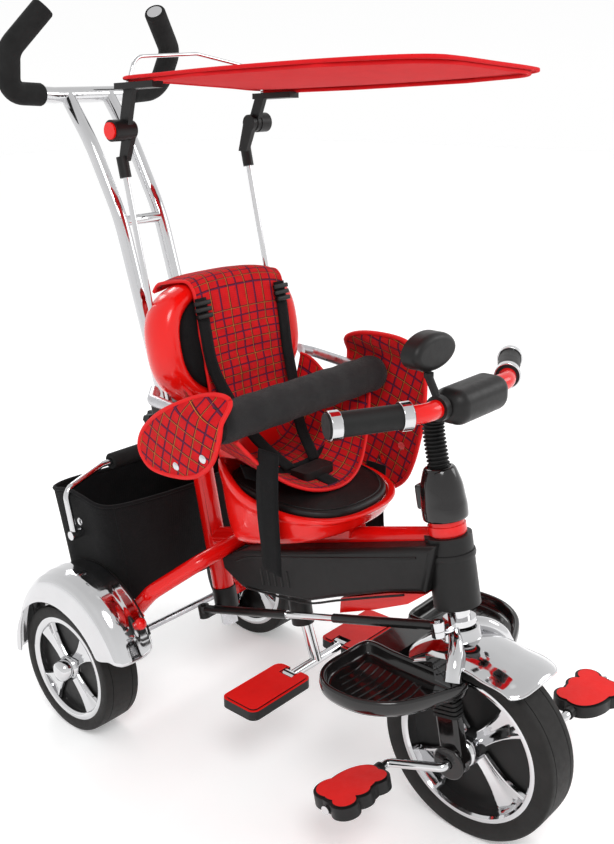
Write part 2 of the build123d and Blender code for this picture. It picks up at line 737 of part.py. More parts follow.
def fork_cover():
    body = extrude(STEER.offset(-14) * Pos(FORK_X, 0) * fillet(
        Rectangle(20, 34).vertices(), 6), 76)
    body += across(0, FRONT_TYRE_R, FORK_X - 10, FORK_X + 10, 18)
    body -= fork_bar_box(0, 100) + across(0, FRONT_TYRE_R, FORK_X - 4, FORK_X + 4, 12)
    body += hub_cover()
    return body - across(0, FRONT_TYRE_R, 0, 90, AXLE_R + 1.2)


def fork_bellows():
    body = None
    for i in range(5):
        low = 62 + 6 * i
        fold = extrude(STEER.offset(low) * Pos(FORK_X, 0) * fillet(
            Rectangle(22, 38).vertices(), 6), 4)
        fold += extrude(STEER.offset(low + 4) * Pos(FORK_X, 0) * fillet(
            Rectangle(16, 32).vertices(), 5), 2)
        body = fold if body is None else body + fold
    return body - fork_bar_box(0, 120)


def hub_cover():
    body = across(0, FRONT_TYRE_R, FORK_X + 10, FORK_X + 17, 23)
    return fillet(body.edges().group_by(Axis.X)[-1], 3)


FRONT_FENDER_R = FRONT_TYRE_R + 20
FRONT_FENDER_HALF = 52


def front_fender():
    band = across(0, FRONT_TYRE_R, -FRONT_FENDER_HALF, FRONT_FENDER_HALF, FRONT_FENDER_R + 2.5,
                  FRONT_FENDER_R)
    band &= side_plate([(-118, 222), (92, 240), (92, 330), (-118, 330)], -100, 100)
    roof = across(0, FRONT_TYRE_R, -64, 64, FRONT_FENDER_R + 2.5, FRONT_FENDER_R)
    roof &= extrude(STEER.offset(60) * Pos(0, 2) * Rectangle(140, 36), 200)
    side = extrude(STEER.offset(106) * Pos(62.5, 2) * Rectangle(3, 36), 60)
    side &= across(0, FRONT_TYRE_R, 0, 80, FRONT_FENDER_R + 2.5)
    body = band + roof + side + mirrored(side)
    body += ring(STEER, 148, 164, 24)
    body -= across(0, FRONT_TYRE_R, -100, 100, FRONT_FENDER_R) & Box(122, 1000, 1000)
    return body - ring(STEER, 100, 200, STEERER_R)


def tray_plan(inset=0):
    """Plan of the foot tray: two lobes joined behind the wheel."""
    half = [(0, 146), (120, 146), (150, 134), (165, 108), (165, 62), (140, 30), (92, 2),
            (43, -14)]
    outline = half + [(-x, y) for x, y in reversed(half[1:])]
    face = make_face(Polyline(*outline, close=True))
    face -= Pos(0, 0) * Rectangle(86, 196)
    return offset(face, -inset) if inset else face


def foot_tray():
    body = extrude(Pos(0, 0, TRAY_LOW) * tray_plan(), TRAY_TOP - TRAY_LOW)
    body -= extrude(Pos(0, 0, TRAY_FLOOR) * tray_plan(TRAY_WALL), 60)
    return body - fork_bar_box(60, CROWN_HIGH) - mirrored(fork_bar_box(60, CROWN_HIGH))


def stem_boot():
    low, high = HEAD_HIGH + 0.5, STEM_HIGH
    body = loft([STEER.offset(low) * Circle(24), STEER.offset(high) * Circle(19)])
    tab = extrude(STEER.offset(low + 18) * Pos(0, 22) * Rectangle(30, 22), 28)
    return body + tab - ring(STEER, low - 1, high + 1, STEERER_R)


def goose_points():
    return [tuple(along(STEER, STEM_HIGH)), (0, 84, 562), (0, 66, 592), (0, 28, 600)]


def gooseneck():
    body = bent(goose_points(), 14, 20)
    return body - handlebar() - ring(STEER, STEM_HIGH - 40, STEM_HIGH, STEERER_R + 10)


BAR_R = 11.5
BAR_BEND = (88, 33, 605)
BAR_END = (194, 92, 604)


def handlebar():
    side = [(-BAR_END[0], *BAR_END[1:]), (-BAR_BEND[0], *BAR_BEND[1:])]
    return bent(side + [(-x, y, z) for x, y, z in reversed(side)], BAR_R, 40)


def bar_point(share):
    """A point of the swept-back run, 0 at its bend and 1 at its end."""
    return Vector(*BAR_BEND) + (Vector(*BAR_END) - Vector(*BAR_BEND)) * share


def bar_cover():
    body = Pos(0, 29, 603) * Box(112, 50, 44)
    body = fillet(body.edges(), 18)
    return body - handlebar() - bent(goose_points(), 14, 20)


def hand_grips():
    return both(rod(bar_point(0.16), bar_point(1.02), 15) - handlebar())


def grip_rings():
    rings = [rod(bar_point(a), bar_point(a + 0.11), 17.5, 15) for a in (0.17, 0.89)]
    return Compound(children=rings + [mirrored(r) for r in rings])


MIRROR_BALL = (-52, 56, 642)


def mirror_clamp():
    x, y, z = MIRROR_BALL
    body = across(BAR_BEND[1], BAR_BEND[2], -68, -58, BAR_R + 4)
    body += rod((-62, BAR_BEND[1] + 2, BAR_BEND[2] + 10), (x, y, z - 5), 5)
    body += rod((x, y, z - 6), (x, y, z), 6)
    body += rod((x, y, z), (x, y, z + 10), 3)
    return body - handlebar()


def mirror_housing():
    x, y, z = MIRROR_BALL
    face = Plane(origin=(x + 7, y + 16, z + 24), x_dir=(1, 0, 0), z_dir=(0, 1, 0))
    body = extrude(face * Ellipse(42, 23), -24)
    body = fillet(body.edges().group_by(Axis.Y)[0], 9)
    body -= extrude(face * Ellipse(38, 19), -3)
    return body - rod((x, y, z), (x, y, z + 10.3), 3 + RUNNING_FIT)


def mirror_glass():
    x, y, z = MIRROR_BALL
    face = Plane(origin=(x + 7, y + 14.5, z + 24), x_dir=(1, 0, 0), z_dir=(0, 1, 0))
    return extrude(face * Ellipse(38, 19), -1.5)


# ---- Wheels, crank and pedals -----------------------------------------------------------

def tyre(x, y, z, radius, inner, width):
    body = across(y, z, x - width / 2, x + width / 2, radius, inner)
    outer = [e for e in body.edges().filter_by(GeomType.CIRCLE) if e.radius > radius - 0.1]
    return fillet(outer, 14)


def rim(x, y, z, radius, width, hub_r, hub_half, bore, wide):
    """A wheel rim with four spokes that widen outwards."""
    body = across(y, z, x - width / 2, x + width / 2, radius, radius - 6)
    body += across(y, z, x - hub_half, x + hub_half, hub_r)
    reach = radius - 3
    spoke = make_face(Polyline((0, -0.32 * wide, 0), (0, -wide / 2, reach), (0, wide / 2, reach),
                               (0, 0.32 * wide, 0), close=True))
    for i in range(4):
        arm = Pos(-7, 0, 0) * extrude(spoke, 14, dir=(1, 0, 0))
        body += (Pos(x, y, z) * Rot(X=45 + 90 * i) * arm) & across(y, z, x - 20, x + 20, reach)
    return body - across(y, z, x - 100, x + 100, bore)


def front_tyre():
    return tyre(0, 0, FRONT_TYRE_R, FRONT_TYRE_R, FRONT_RIM_R, FRONT_TYRE_WIDTH)


def front_rim():
    hub_half = FORK_X - 10 - 2 * SOFT_GAP
    return rim(0, 0, FRONT_TYRE_R, FRONT_RIM_R, FRONT_TYRE_WIDTH - 6, 22, hub_half, AXLE_R, 62)


def pedal_place():
    """Pedal spindle, seen from the front axle, on the rider's right."""
    return (CRANK_RADIUS * cos(radians(CRANK_DROP)),
            FRONT_TYRE_R - CRANK_RADIUS * sin(radians(CRANK_DROP)))


def crank():
    y, z = pedal_place()
    side = [(-CRANK_END_X, y, z), (-98, y, z), (-77, 0, FRONT_TYRE_R)]
    other = [(-px, -py, 2 * FRONT_TYRE_R - pz) for px, py, pz in reversed(side)]
    return bent(side + other, AXLE_R, 9)


def pedal_plan(inset=0):
    """The rounded, lobed outline of a pedal."""
    plan = Ellipse(48 - inset, 33 - inset)
    for x in (-26, 8, 36):
        plan += Pos(x, 18) * Circle(19 - inset)
    plan += Pos(20, -14) * Circle(26 - inset)
    return plan


def pedal(side):
    """One pedal with a tread on each face."""
    middle = (PEDAL_OUT_X + PEDAL_IN_X) / 2
    body = Pos(0, 0, -PEDAL_HALF) * extrude(pedal_plan(), 2 * PEDAL_HALF)
    body += Pos(-50, 0, 0) * Rot(Y=90) * Cylinder(PEDAL_HALF, 16)
    body -= Rot(Y=90) * Pos(0, 0, -200 + CRANK_END_X + 0.3 - middle) * Cylinder(
        AXLE_R + RUNNING_FIT, 400)
    tread = Pos(0, 0, PEDAL_HALF) * extrude(pedal_plan(4), PEDAL_TREAD)
    tread += Pos(0, 0, -PEDAL_HALF - PEDAL_TREAD) * extrude(pedal_plan(4), PEDAL_TREAD)
    y, z = pedal_place()
    if side < 0:
        place = Pos(-middle, y, z) * Rot(X=-PEDAL_TILT) * Rot(Z=180)
    else:
        place = Pos(middle, -y, 2 * FRONT_TYRE_R - z)
    return place * (body + tread)


def rear_tyre(side):
    return tyre(side * REAR_TRACK / 2, WHEELBASE, REAR_TYRE_R, REAR_TYRE_R, REAR_RIM_R,
                REAR_TYRE_WIDTH)


def rear_rim(side):
    """One rear rim with the domed cap over the axle's end."""
    y, z = WHEELBASE, REAR_TYRE_R
    hub_end = REAR_TRACK / 2 + REAR_HUB_HALF
    cap = across(y, z, hub_end, hub_end + 19, 17)
    cap = fillet(cap.edges().group_by(Axis.X)[-1], 8)
    cap -= across(y, z, 0, AXLE_HALF + 2, AXLE_R + 1)
    cap = cap if side > 0 else mirrored(cap)
    return cap + rim(side * REAR_TRACK / 2, y, z, REAR_RIM_R, REAR_TYRE_WIDTH - 6, 20,
                     REAR_HUB_HALF, AXLE_R + RUNNING_FIT, 50)


# ---- Export -----------------------------------------------------------------------------

def build():
    """Every node by name, in the layout from the front axle."""
    return {
        "main_frame": main_frame(),
        "head_bushes": head_bushes(),
        "rear_arch": rear_arch(),
        "rear_axle": rear_axle(),
        "frame_shroud": shroud(),
        "shroud_insert": shroud_insert(),
        "footrest_post": footrest(),
        "rear_fenders": both(fender()),
        "basket": basket(),
        "seat_base": seat_base(),
        "seat_pad": seat_pad(),
        "backrest_shell": backrest_shell(),
        "backrest_pad": backrest_pad(),
        "backrest_cover": backrest_cover(),
        "backrest_bracket": backrest_bracket(),
        "guard_bar": guard_bar(),
        "guard_pad": guard_pad(),
        "side_panels": side_panels(),
        "harness_straps": harness_straps(),
        "harness_buckle": harness_buckle(),
        "canopy_rods": both(canopy_rod()),
        "canopy_sockets": both(rod_socket()),
        "canopy_knobs": both(canopy_knob()),
        "basket_handle": bail(),
        "basket_grip": basket_grip(),
        "canopy_arms": Compound(children=[canopy_arm(-1), canopy_arm(1)]),
        "canopy_wire": canopy_wire(),
        "canopy_fabric": canopy_fabric(),
        "push_post": push_post(),
        "push_lever": push_lever(),
        "handle_yoke": handle_yoke(),
        "push_tubes": push_tubes(),
        "push_grips": push_grips(),
        "star_knob": star_knob(),
        "steering_link": steering_link(),
        "fork": fork(),
        "fork_covers": both(fork_cover()),
        "fork_bellows": both(fork_bellows()),
        "front_fender": front_fender(),
        "foot_tray": foot_tray(),
        "stem_boot": stem_boot(),
        "gooseneck": gooseneck(),
        "handlebar": handlebar(),
        "bar_cover": bar_cover(),
        "hand_grips": hand_grips(),
        "grip_rings": grip_rings(),
        "mirror_clamp": mirror_clamp(),
        "mirror_housing": mirror_housing(),
        "mirror_glass": mirror_glass(),
        "front_tyre": front_tyre(),
        "front_rim": front_rim(),
        "crank": crank(),
        "pedal_right": pedal(-1),
        "pedal_left": pedal(1),
        "rear_tyre_right": rear_tyre(-1),
        "rear_tyre_left": rear_tyre(1),
        "rear_rim_right": rear_rim(-1),
        "rear_rim_left": rear_rim(1),
        "footpad_right": mirrored(footpad()),
        "footpad_left": footpad(),
    }


if __name__ == "__main__":
    os.makedirs("parts", exist_ok=True)
    for name, shape in build().items():
        export_step(Pos(0, -CENTRE_Y, 0) * shape, f"parts/{name}.step")
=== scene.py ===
import json
from math import atan2, cos, pi, radians, sin

import bmesh
import bpy
from mathutils import Matrix, Vector
from mathutils.noise import noise

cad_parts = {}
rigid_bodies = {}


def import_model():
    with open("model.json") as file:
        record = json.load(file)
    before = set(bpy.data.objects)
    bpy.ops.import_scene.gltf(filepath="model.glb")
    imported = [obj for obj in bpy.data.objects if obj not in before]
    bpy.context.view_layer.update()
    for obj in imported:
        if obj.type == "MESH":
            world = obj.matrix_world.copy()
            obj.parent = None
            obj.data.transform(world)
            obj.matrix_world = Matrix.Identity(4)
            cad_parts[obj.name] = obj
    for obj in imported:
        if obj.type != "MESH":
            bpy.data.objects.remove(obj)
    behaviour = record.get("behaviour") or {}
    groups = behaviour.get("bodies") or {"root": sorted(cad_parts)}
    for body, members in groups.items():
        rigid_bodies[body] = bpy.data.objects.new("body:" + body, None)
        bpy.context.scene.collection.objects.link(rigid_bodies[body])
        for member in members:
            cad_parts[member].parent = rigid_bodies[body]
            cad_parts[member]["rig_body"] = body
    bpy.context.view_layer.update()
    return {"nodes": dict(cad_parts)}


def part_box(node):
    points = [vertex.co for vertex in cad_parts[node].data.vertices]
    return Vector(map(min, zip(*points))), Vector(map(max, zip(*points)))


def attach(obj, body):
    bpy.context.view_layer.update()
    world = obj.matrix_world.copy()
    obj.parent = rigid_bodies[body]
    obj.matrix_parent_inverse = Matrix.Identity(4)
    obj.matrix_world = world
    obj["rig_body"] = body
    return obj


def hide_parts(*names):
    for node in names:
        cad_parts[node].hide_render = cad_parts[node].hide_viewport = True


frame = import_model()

scene = bpy.context.scene
scene.view_settings.view_transform = "Standard"
wheelLow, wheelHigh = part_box("front_tyre")
axleY = (wheelLow[1] + wheelHigh[1]) / 2  # the front axle, which the lengths below count from


def spin(degrees, axis):
    return Matrix.Rotation(radians(degrees), 3, axis)


# millimetres from the front axle's line on the floor, as metres in the frame
def at(x, y, z):
    return Vector((x / 1000, axleY + y / 1000, z / 1000))


frontAxle = at(0, 0, 130)


def newObject(name, data):
    obj = bpy.data.objects.new(name, data)
    scene.collection.objects.link(obj)
    return obj


# ---- camera, lights, floor
cameraSettings = {"place": (-1030.5, -624.9, 975.9), "yaw": 48.2, "pitch": 18.4, "roll": -0.7,
                  "focal": 1039.5, "longSide": 844, "sensor": 36}


def makeCamera(s):
    data = bpy.data.cameras.new("camera")
    data.sensor_width = s["sensor"]
    data.lens = s["focal"] / s["longSide"] * s["sensor"]
    cam = newObject("camera", data)
    turn = spin(-s["yaw"], "Z") @ spin(90 - s["pitch"], "X")
    turn = turn @ spin(s["roll"], "Z")
    cam.matrix_world = Matrix.Translation(at(*s["place"])) @ turn.to_4x4()
    scene.camera = cam


def areaLight(name, place, target, size, power):
    data = bpy.data.lights.new(name, "AREA")
    data.shape = "DISK"
    data.size = size
    data.energy = power
    aim = (Vector(target) - Vector(place)).to_track_quat("-Z", "Y")
    newObject(name, data).matrix_world = Matrix.Translation(place) @ aim.to_matrix().to_4x4()


studioSettings = {"sky": [(0, 1.0), (0.10, 1.0), (0.20, 0.42), (0.50, 0.30), (0.68, 0.62), (1, 0.75)],
                  "lamps": {"key": ((-1.6, -1.9, 3.0), (0, 0, 0.4), 1.3, 44),
                            "fill": ((2.4, -1.8, 1.8), (0, 0, 0.5), 1.4, 16),
                            "back": ((0.8, 2.6, 2.4), (0, 0, 0.6), 1.3, 22)},
                  "floorHalf": 12, "floorGlow": 0.22}


def makeStudio(s):
    world = bpy.data.worlds.new("studio")
    world.use_nodes = True
    tree = world.node_tree
    parts = tree.nodes.new("ShaderNodeSeparateXYZ")
    tree.links.new(tree.nodes.new("ShaderNodeTexCoord").outputs["Generated"], parts.inputs[0])
    ramp = tree.nodes.new("ShaderNodeValToRGB")
    stops = ramp.color_ramp.elements
    for place, level in s["sky"]:
        stop = stops[0] if place == 0 else stops[1] if place == 1 else stops.new(place)
        stop.position = place
        stop.color = (level, level, level, 1)
    tree.links.new(parts.outputs["Z"], ramp.inputs[0])
    tree.links.new(ramp.outputs[0], tree.nodes["Background"].inputs["Color"])
    tree.nodes["Background"].inputs["Strength"].default_value = 1.0
    scene.world = world
    for name, lamp in s["lamps"].items():
        areaLight(name, *lamp)
    bm = bmesh.new()
    bmesh.ops.create_grid(bm, x_segments=1, y_segments=1, size=s["floorHalf"])
    mesh = bpy.data.meshes.new("floor")
    bm.to_mesh(mesh)
    bm.free()
    paint = paintLike("floorPaint", (0.93, 0.93, 0.93), rough=0.6, mottle=0.01)
    feedAll(paint.node_tree, paint.node_tree.nodes["Principled BSDF"],
            {"Emission Color": (1, 1, 1, 1), "Emission Strength": s["floorGlow"]})
    mesh.materials.append(paint)
    newObject("floor", mesh)


# ---- materials
def newMaterial(name):
    mat = bpy.data.materials.new(name)
    mat.use_nodes = True
    tree = mat.node_tree
    return mat, tree, tree.nodes["Principled BSDF"]


def addNode(tree, kind, **values):
    node = tree.nodes.new(kind)
    for key, value in values.items():
        if hasattr(node, key):
            setattr(node, key, value)
        else:
            node.inputs[key].default_value = value
    return node


# a fixed value or another node's output goes into a socket
def feed(tree, socket, value):
    if isinstance(value, (int, float, tuple)):
        socket.default_value = value
    elif value is not None:
        tree.links.new(value, socket)


def feedAll(tree, node, values):
    for key, value in values.items():
        feed(tree, node.inputs[key], value)


def mathNode(tree, operation, a, b=None):
    node = addNode(tree, "ShaderNodeMath", operation=operation)
    feedAll(tree, node, {0: a, 1: b})
    return node.outputs[0]


def times(tree, a, b):
    return mathNode(tree, "MULTIPLY", a, b)


# how bright a sine wave of that length is, from -1 to 1
def waveOn(tree, coord, length):
    return mathNode(tree, "SINE", times(tree, coord, 2 * pi / length))


def objectPlace(tree):
    return tree.nodes.new("ShaderNodeTexCoord").outputs["Object"]


def noiseOn(tree, vector, scale, detail=3.0):
    node = addNode(tree, "ShaderNodeTexNoise", Scale=scale, Detail=detail)
    tree.links.new(vector, node.inputs["Vector"])
    return node.outputs["Fac"]


def remap(tree, value, low, high):
    node = tree.nodes.new("ShaderNodeMapRange")
    feedAll(tree, node, {"Value": value, "From Min": 0.3, "From Max": 0.7, "To Min": low, "To Max": high})
    return node.outputs["Result"]


def shadeOf(color, factor):
    return tuple(min(1, c * factor) for c in color) + (1,)


def mixColors(tree, fac, a, b):
    node = addNode(tree, "ShaderNodeMix", data_type="RGBA")
    feedAll(tree, node, {0: fac, 6: a, 7: b})
    return node.outputs[2]


def bumpFrom(tree, shader, height, strength, distance):
    bump = addNode(tree, "ShaderNodeBump", Strength=strength, Distance=distance)
    tree.links.new(height, bump.inputs["Height"])
    tree.links.new(bump.outputs["Normal"], shader.inputs["Normal"])


def mottled(tree, place, scale, color, amount):
    fac = remap(tree, noiseOn(tree, place, scale), 0.0, 1.0)
    return mixColors(tree, fac, shadeOf(color, 1 - amount), shadeOf(color, 1 + amount))


# a moulded, painted or plated surface with slight variation of colour, gloss and grain
def paintLike(name, color, rough=0.3, metal=0.0, coat=0.0, mottle=0.06, mottleScale=24, grain=0.0,
              grainScale=900, wear=0.05, sheen=0.0, specular=0.28):
    mat, tree, shader = newMaterial(name)
    place = objectPlace(tree)
    gloss = noiseOn(tree, place, mottleScale * 5, 4.0)
    feedAll(tree, shader, {
        "Base Color": mottled(tree, place, mottleScale, color, mottle),
        "Roughness": remap(tree, gloss, max(rough - wear, 0.02), rough + wear),
        "Metallic": metal, "Specular IOR Level": specular, "Coat Weight": coat, "Coat Roughness": 0.06,
        "Sheen Weight": sheen})
    if grain:
        bumpFrom(tree, shader, noiseOn(tree, place, grainScale, 2.0), grain, 0.0004)
    return mat


# one where a stripe of that width lies, once in each period
def lineMask(tree, coord, period, offset, width):
    share = mathNode(tree, "FRACT", mathNode(tree, "DIVIDE", mathNode(tree, "ADD", coord, offset), period))
    off = mathNode(tree, "ABSOLUTE", mathNode(tree, "SUBTRACT", share, 0.5))
    return mathNode(tree, "LESS_THAN", off, width / period / 2)


def weaveHeight(tree, u, v, pitch):
    return times(tree, waveOn(tree, u, pitch), waveOn(tree, v, pitch))


# the piece's own cloth coordinates, in metres
def clothUv(tree):
    uv = tree.nodes.new("ShaderNodeUVMap")
    uv.uv_map = "cloth"
    parts = tree.nodes.new("ShaderNodeSeparateXYZ")
    tree.links.new(uv.outputs["UV"], parts.inputs[0])
    return parts.outputs[0], parts.outputs[1]


# woven cloth; each stripe is (direction, period, offset, width, colour, strength)
def clothLike(name, color, pitch=0.0011, rough=0.85, sheen=0.03, bump=0.5, mottle=0.12, stripes=()):
    mat, tree, shader = newMaterial(name)
    u, v = clothUv(tree)
    place = objectPlace(tree)
    tint = mottled(tree, place, 60, color, mottle)
    for direction, period, offset, width, stripe, strength in stripes:
        mask = lineMask(tree, u if direction == "u" else v, period, offset, width)
        tint = mixColors(tree, times(tree, mask, strength), tint, stripe + (1,))
    threads = weaveHeight(tree, u, v, pitch)
    shade = times(tree, mathNode(tree, "ADD", threads, 1.0), 0.12)
    feedAll(tree, shader, {"Base Color": mixColors(tree, shade, tint, shadeOf(color, 0.25)),
                           "Roughness": remap(tree, noiseOn(tree, place, 300), rough - 0.06, rough + 0.06),
                           "Sheen Weight": sheen, "Specular IOR Level": 0.15})
    bumpFrom(tree, shader, threads, bump, 0.0003)
    return mat


# period, offset, width, colour, strength; each runs both ways
plaidLines = [(0.017, 0.000, 0.0034, (0.010, 0.006, 0.016), 0.9), (0.034, 0.009, 0.0010, (0.80, 0.25, 0.03), 0.7),
              (0.034, 0.026, 0.0012, (0.14, 0.02, 0.10), 0.7)]
plaidStripes = [(direction, *line) for line in plaidLines for direction in "uv"]

print("stage: materials")
redPaint = paintLike("redPaint", (0.70, 0.004, 0.003), rough=0.2, coat=0.35, mottle=0.03)
redPlastic = paintLike("redPlastic", (0.74, 0.005, 0.003), rough=0.22, coat=0.35, mottle=0.03)
blackPlastic = paintLike("blackPlastic", (0.0075, 0.007, 0.007), rough=0.42, grain=0.25, mottle=0.15)
glossBlack = paintLike("glossBlack", (0.006, 0.005, 0.005), rough=0.16, coat=0.5, mottle=0.1)
blackPaint = paintLike("blackPaint", (0.007, 0.007, 0.007), rough=0.32, coat=0.2, mottle=0.1)
chromePlate = paintLike("chromePlate", (0.64, 0.64, 0.65), rough=0.07, metal=1.0, mottle=0.02, wear=0.03)
zincSteel = paintLike("zincSteel", (0.55, 0.55, 0.57), rough=0.32, metal=1.0, mottle=0.08, wear=0.1)
tyreFoam = paintLike("tyreFoam", (0.011, 0.010, 0.0095), rough=0.62, grain=0.5, grainScale=1400, mottle=0.2)
blackRubber = paintLike("blackRubber", (0.007, 0.007, 0.007), rough=0.55, grain=0.3, mottle=0.15)
gripFoam = paintLike("gripFoam", (0.008, 0.008, 0.008), rough=0.85, grain=0.9, grainScale=1500, mottle=0.25)
mirrorFilm = paintLike("mirrorFilm", (0.9, 0.9, 0.92), rough=0.03, metal=1.0, mottle=0.01, wear=0.01)
redRubber = paintLike("redRubber", (0.74, 0.006, 0.004), rough=0.5, grain=0.4, grainScale=500)
vinyl = paintLike("vinyl", (0.008, 0.0075, 0.0075), rough=0.38, grain=0.8, grainScale=420, mottle=0.15)
plaidCloth = clothLike("plaidCloth", (0.62, 0.006, 0.010), stripes=plaidStripes)
redCloth = clothLike("redCloth", (0.68, 0.008, 0.012), pitch=0.0009, bump=0.3, mottle=0.05)
blackCloth = clothLike("blackCloth", (0.0055, 0.0055, 0.006), pitch=0.0012, mottle=0.2)
webbing = clothLike("webbing", (0.006, 0.006, 0.0065), pitch=0.0018, bump=0.8, mottle=0.2)
redPiping = paintLike("redPiping", (0.66, 0.006, 0.007), rough=0.55, grain=0.4)

# ---- modelling helpers
def emptyMesh():
    bm = bmesh.new()
    bm.loops.layers.uv.new("cloth")
    return bm


def addModifier(obj, name, kind, **values):
    modifier = obj.modifiers.new(name, kind)
    for key, value in values.items():
        setattr(modifier, key, value)


# the mesh as a visible piece on a body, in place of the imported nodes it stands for
def finishPiece(name, bm, materials, nodes=(), body="frame", bevel=0.0, thickness=0.0, subdivide=0,
                sharp=50):
    bmesh.ops.recalc_face_normals(bm, faces=bm.faces)
    for face in bm.faces:
        face.smooth = True
    for edge in bm.edges:
        if edge.is_manifold and edge.calc_face_angle(0) > radians(sharp):
            edge.smooth = False
    mesh = bpy.data.meshes.new(name)
    bm.to_mesh(mesh)
    bm.free()
    for material in materials if isinstance(materials, (list, tuple)) else [materials]:
        mesh.materials.append(material)
    obj = newObject(name, mesh)
    if thickness:
        addModifier(obj, "thickness", "SOLIDIFY", thickness=thickness, offset=0)
    if bevel:
        addModifier(obj, "rounding", "BEVEL", width=bevel, segments=2, limit_method="ANGLE",
                    angle_limit=radians(sharp), harden_normals=True)
    if subdivide:
        addModifier(obj, "finer", "SUBSURF", levels=subdivide, render_levels=subdivide)
    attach(obj, body)
    if nodes:
        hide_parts(*nodes)
    return obj


# a grid bent into shape: place(u, v) gives each point and cloth(u, v) its cloth coordinate, u and v from 0 to 1
def surface(bm, across, along, place, cloth=None, index=0):
    layer = bm.loops.layers.uv["cloth"]
    verts = bmesh.ops.create_grid(bm, x_segments=across, y_segments=along, size=0.5)["verts"]
    flat = {v: (v.co.x + 0.5, v.co.y + 0.5) for v in verts}
    for face in {f for v in verts for f in v.link_faces}:
        face.material_index = index
        for loop in face.loops:
            u, v = flat[loop.vert]
            loop[layer].uv = cloth(u, v) if cloth else (u, v)
    for vert, (u, v) in flat.items():
        vert.co = place(u, v)
    bmesh.ops.remove_doubles(bm, verts=verts, dist=2e-6)


def smoothStep(t):
    t = min(1, max(0, t))
    return t * t * (3 - 2 * t)


def lerp(a, b, t):
    return a + (b - a) * t


# a value read off a table of (share, value) pairs
def table(pairs, t):
    for (t0, a), (t1, b) in zip(pairs, pairs[1:]):
        if t <= t1:
            return lerp(a, b, (t - t0) / (t1 - t0))
    return pairs[-1][1]


# a polyline rounded by a Catmull-Rom curve and cut in equal steps
def smoothLine(points, steps, closed=False):
    pts = [Vector(p) for p in points]
    n = len(pts)
    fine = []
    for i in range(n if closed else n - 1):
        p0 = pts[(i - 1) % n] if closed or i > 0 else pts[0] * 2 - pts[1]
        p1, p2 = pts[i], pts[(i + 1) % n]
        p3 = pts[(i + 2) % n] if closed or i + 2 < n else pts[-1] * 2 - pts[-2]
        for k in range(12):
            t = k / 12
            fine.append(0.5 * ((2 * p1) + (p2 - p0) * t + (2 * p0 - 5 * p1 + 4 * p2 - p3) * t * t
                               + (3 * p1 - p0 - 3 * p2 + p3) * t ** 3))
    fine.append(pts[0] if closed else pts[-1])
    lengths = [0]
    for a, b in zip(fine, fine[1:]):
        lengths.append(lengths[-1] + (b - a).length)
    out, j = [], 0
    for k in range(steps + 1):
        want = lengths[-1] * k / steps
        while j < len(fine) - 2 and lengths[j + 1] < want:
            j += 1
        span = lengths[j + 1] - lengths[j]
        out.append(fine[j].lerp(fine[j + 1], (want - lengths[j]) / span if span else 0))
    return out[:-1] if closed else out


# a tube along a line; radius, in mm, may be a number or a function of the share along it
def tube(bm, line, radius, sides=16, closed=False, caps=True, index=0):
    n = len(line)
    frames, side = [], None
    for i, point in enumerate(line):
        before = line[(i - 1) % n] if closed or i else point
        after = line[(i + 1) % n] if closed or i < n - 1 else point
        heading = (after - before).normalized()
        if side is None:
            side = heading.orthogonal().normalized()
        side = (side - heading * side.dot(heading)).normalized()
        frames.append((point, side, heading.cross(side)))

    def size(share):
        return (radius(share) if callable(radius) else radius) / 1000

    if closed:
        frames.append((line[0], side, (line[1] - line[0]).normalized().cross(side)))
        turn = atan2(frames[0][1].dot(frames[-1][2]), frames[0][1].dot(frames[-1][1]))
        twists = [(cos(turn * i / n), sin(turn * i / n)) for i in range(n + 1)]
        frames = [(p, a * c + b * d, b * c - a * d) for (p, a, b), (c, d) in zip(frames, twists)]
    last = len(frames) - 1
    length = sum((b - a).length for a, b in zip(line, line[1:]))

    def place(u, v):
        point, a, b = frames[round(v * last)]
        return point + (a * cos(2 * pi * u) + b * sin(2 * pi * u)) * size(v)

    surface(bm, sides, last, place, lambda u, v: (u * 2 * pi * size(0.5), v * length), index)
    if caps and not closed:
        for end in (0, last):
            point, a, b = frames[end]
            ring = size(end / last)
            surface(bm, sides, 1, lambda u, v: point + (a * cos(2 * pi * u) + b * sin(2 * pi * u)) * ring * v,
                    None, index)
        bmesh.ops.remove_doubles(bm, verts=bm.verts, dist=2e-6)


# a solid of revolution: profile is (along, radius) pairs in mm from base, along the unit axis
def turned(bm, base, axis, profile, sides=32, index=0):
    a = axis.orthogonal().normalized()
    b = axis.cross(a)
    last = len(profile) - 1

    def place(u, v):
        along, radius = profile[round(v * last)]
        return base + (axis * along + (a * cos(2 * pi * u) + b * sin(2 * pi * u)) * radius) / 1000

    surface(bm, sides, last, place, None, index)


# cloth coordinates in metres laid square on each face
def boxUv(bm):
    layer = bm.loops.layers.uv.get("cloth") or bm.loops.layers.uv.new("cloth")
    for face in bm.faces:
        n = [abs(c) for c in face.normal]
        drop = n.index(max(n))
        keep = [i for i in range(3) if i != drop]
        for loop in face.loops:
            loop[layer].uv = (loop.vert.co[keep[0]], loop.vert.co[keep[1]])


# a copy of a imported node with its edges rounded; paint(centre, normal) picks a face's material
def dressed(node, width, materials=None, paint=None, sharp=35):
    source = frame["nodes"][node]
    bm = bmesh.new()
    bm.from_mesh(source.data)
    bmesh.ops.remove_doubles(bm, verts=bm.verts, dist=1e-5)
    boxUv(bm)
    if paint:
        for face in bm.faces:
            face.material_index = paint(face.calc_center_median(), face.normal)
    materials = materials or [source.material_slots[0].material]
    return finishPiece(node + "_dressed", bm, materials, [node], source["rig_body"], width, sharp=sharp)


def inBox(node, fx, fy, fz):
    low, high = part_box(node)
    return Vector((lerp(low.x, high.x, fx), lerp(low.y, high.y, fy), lerp(low.z, high.z, fz)))


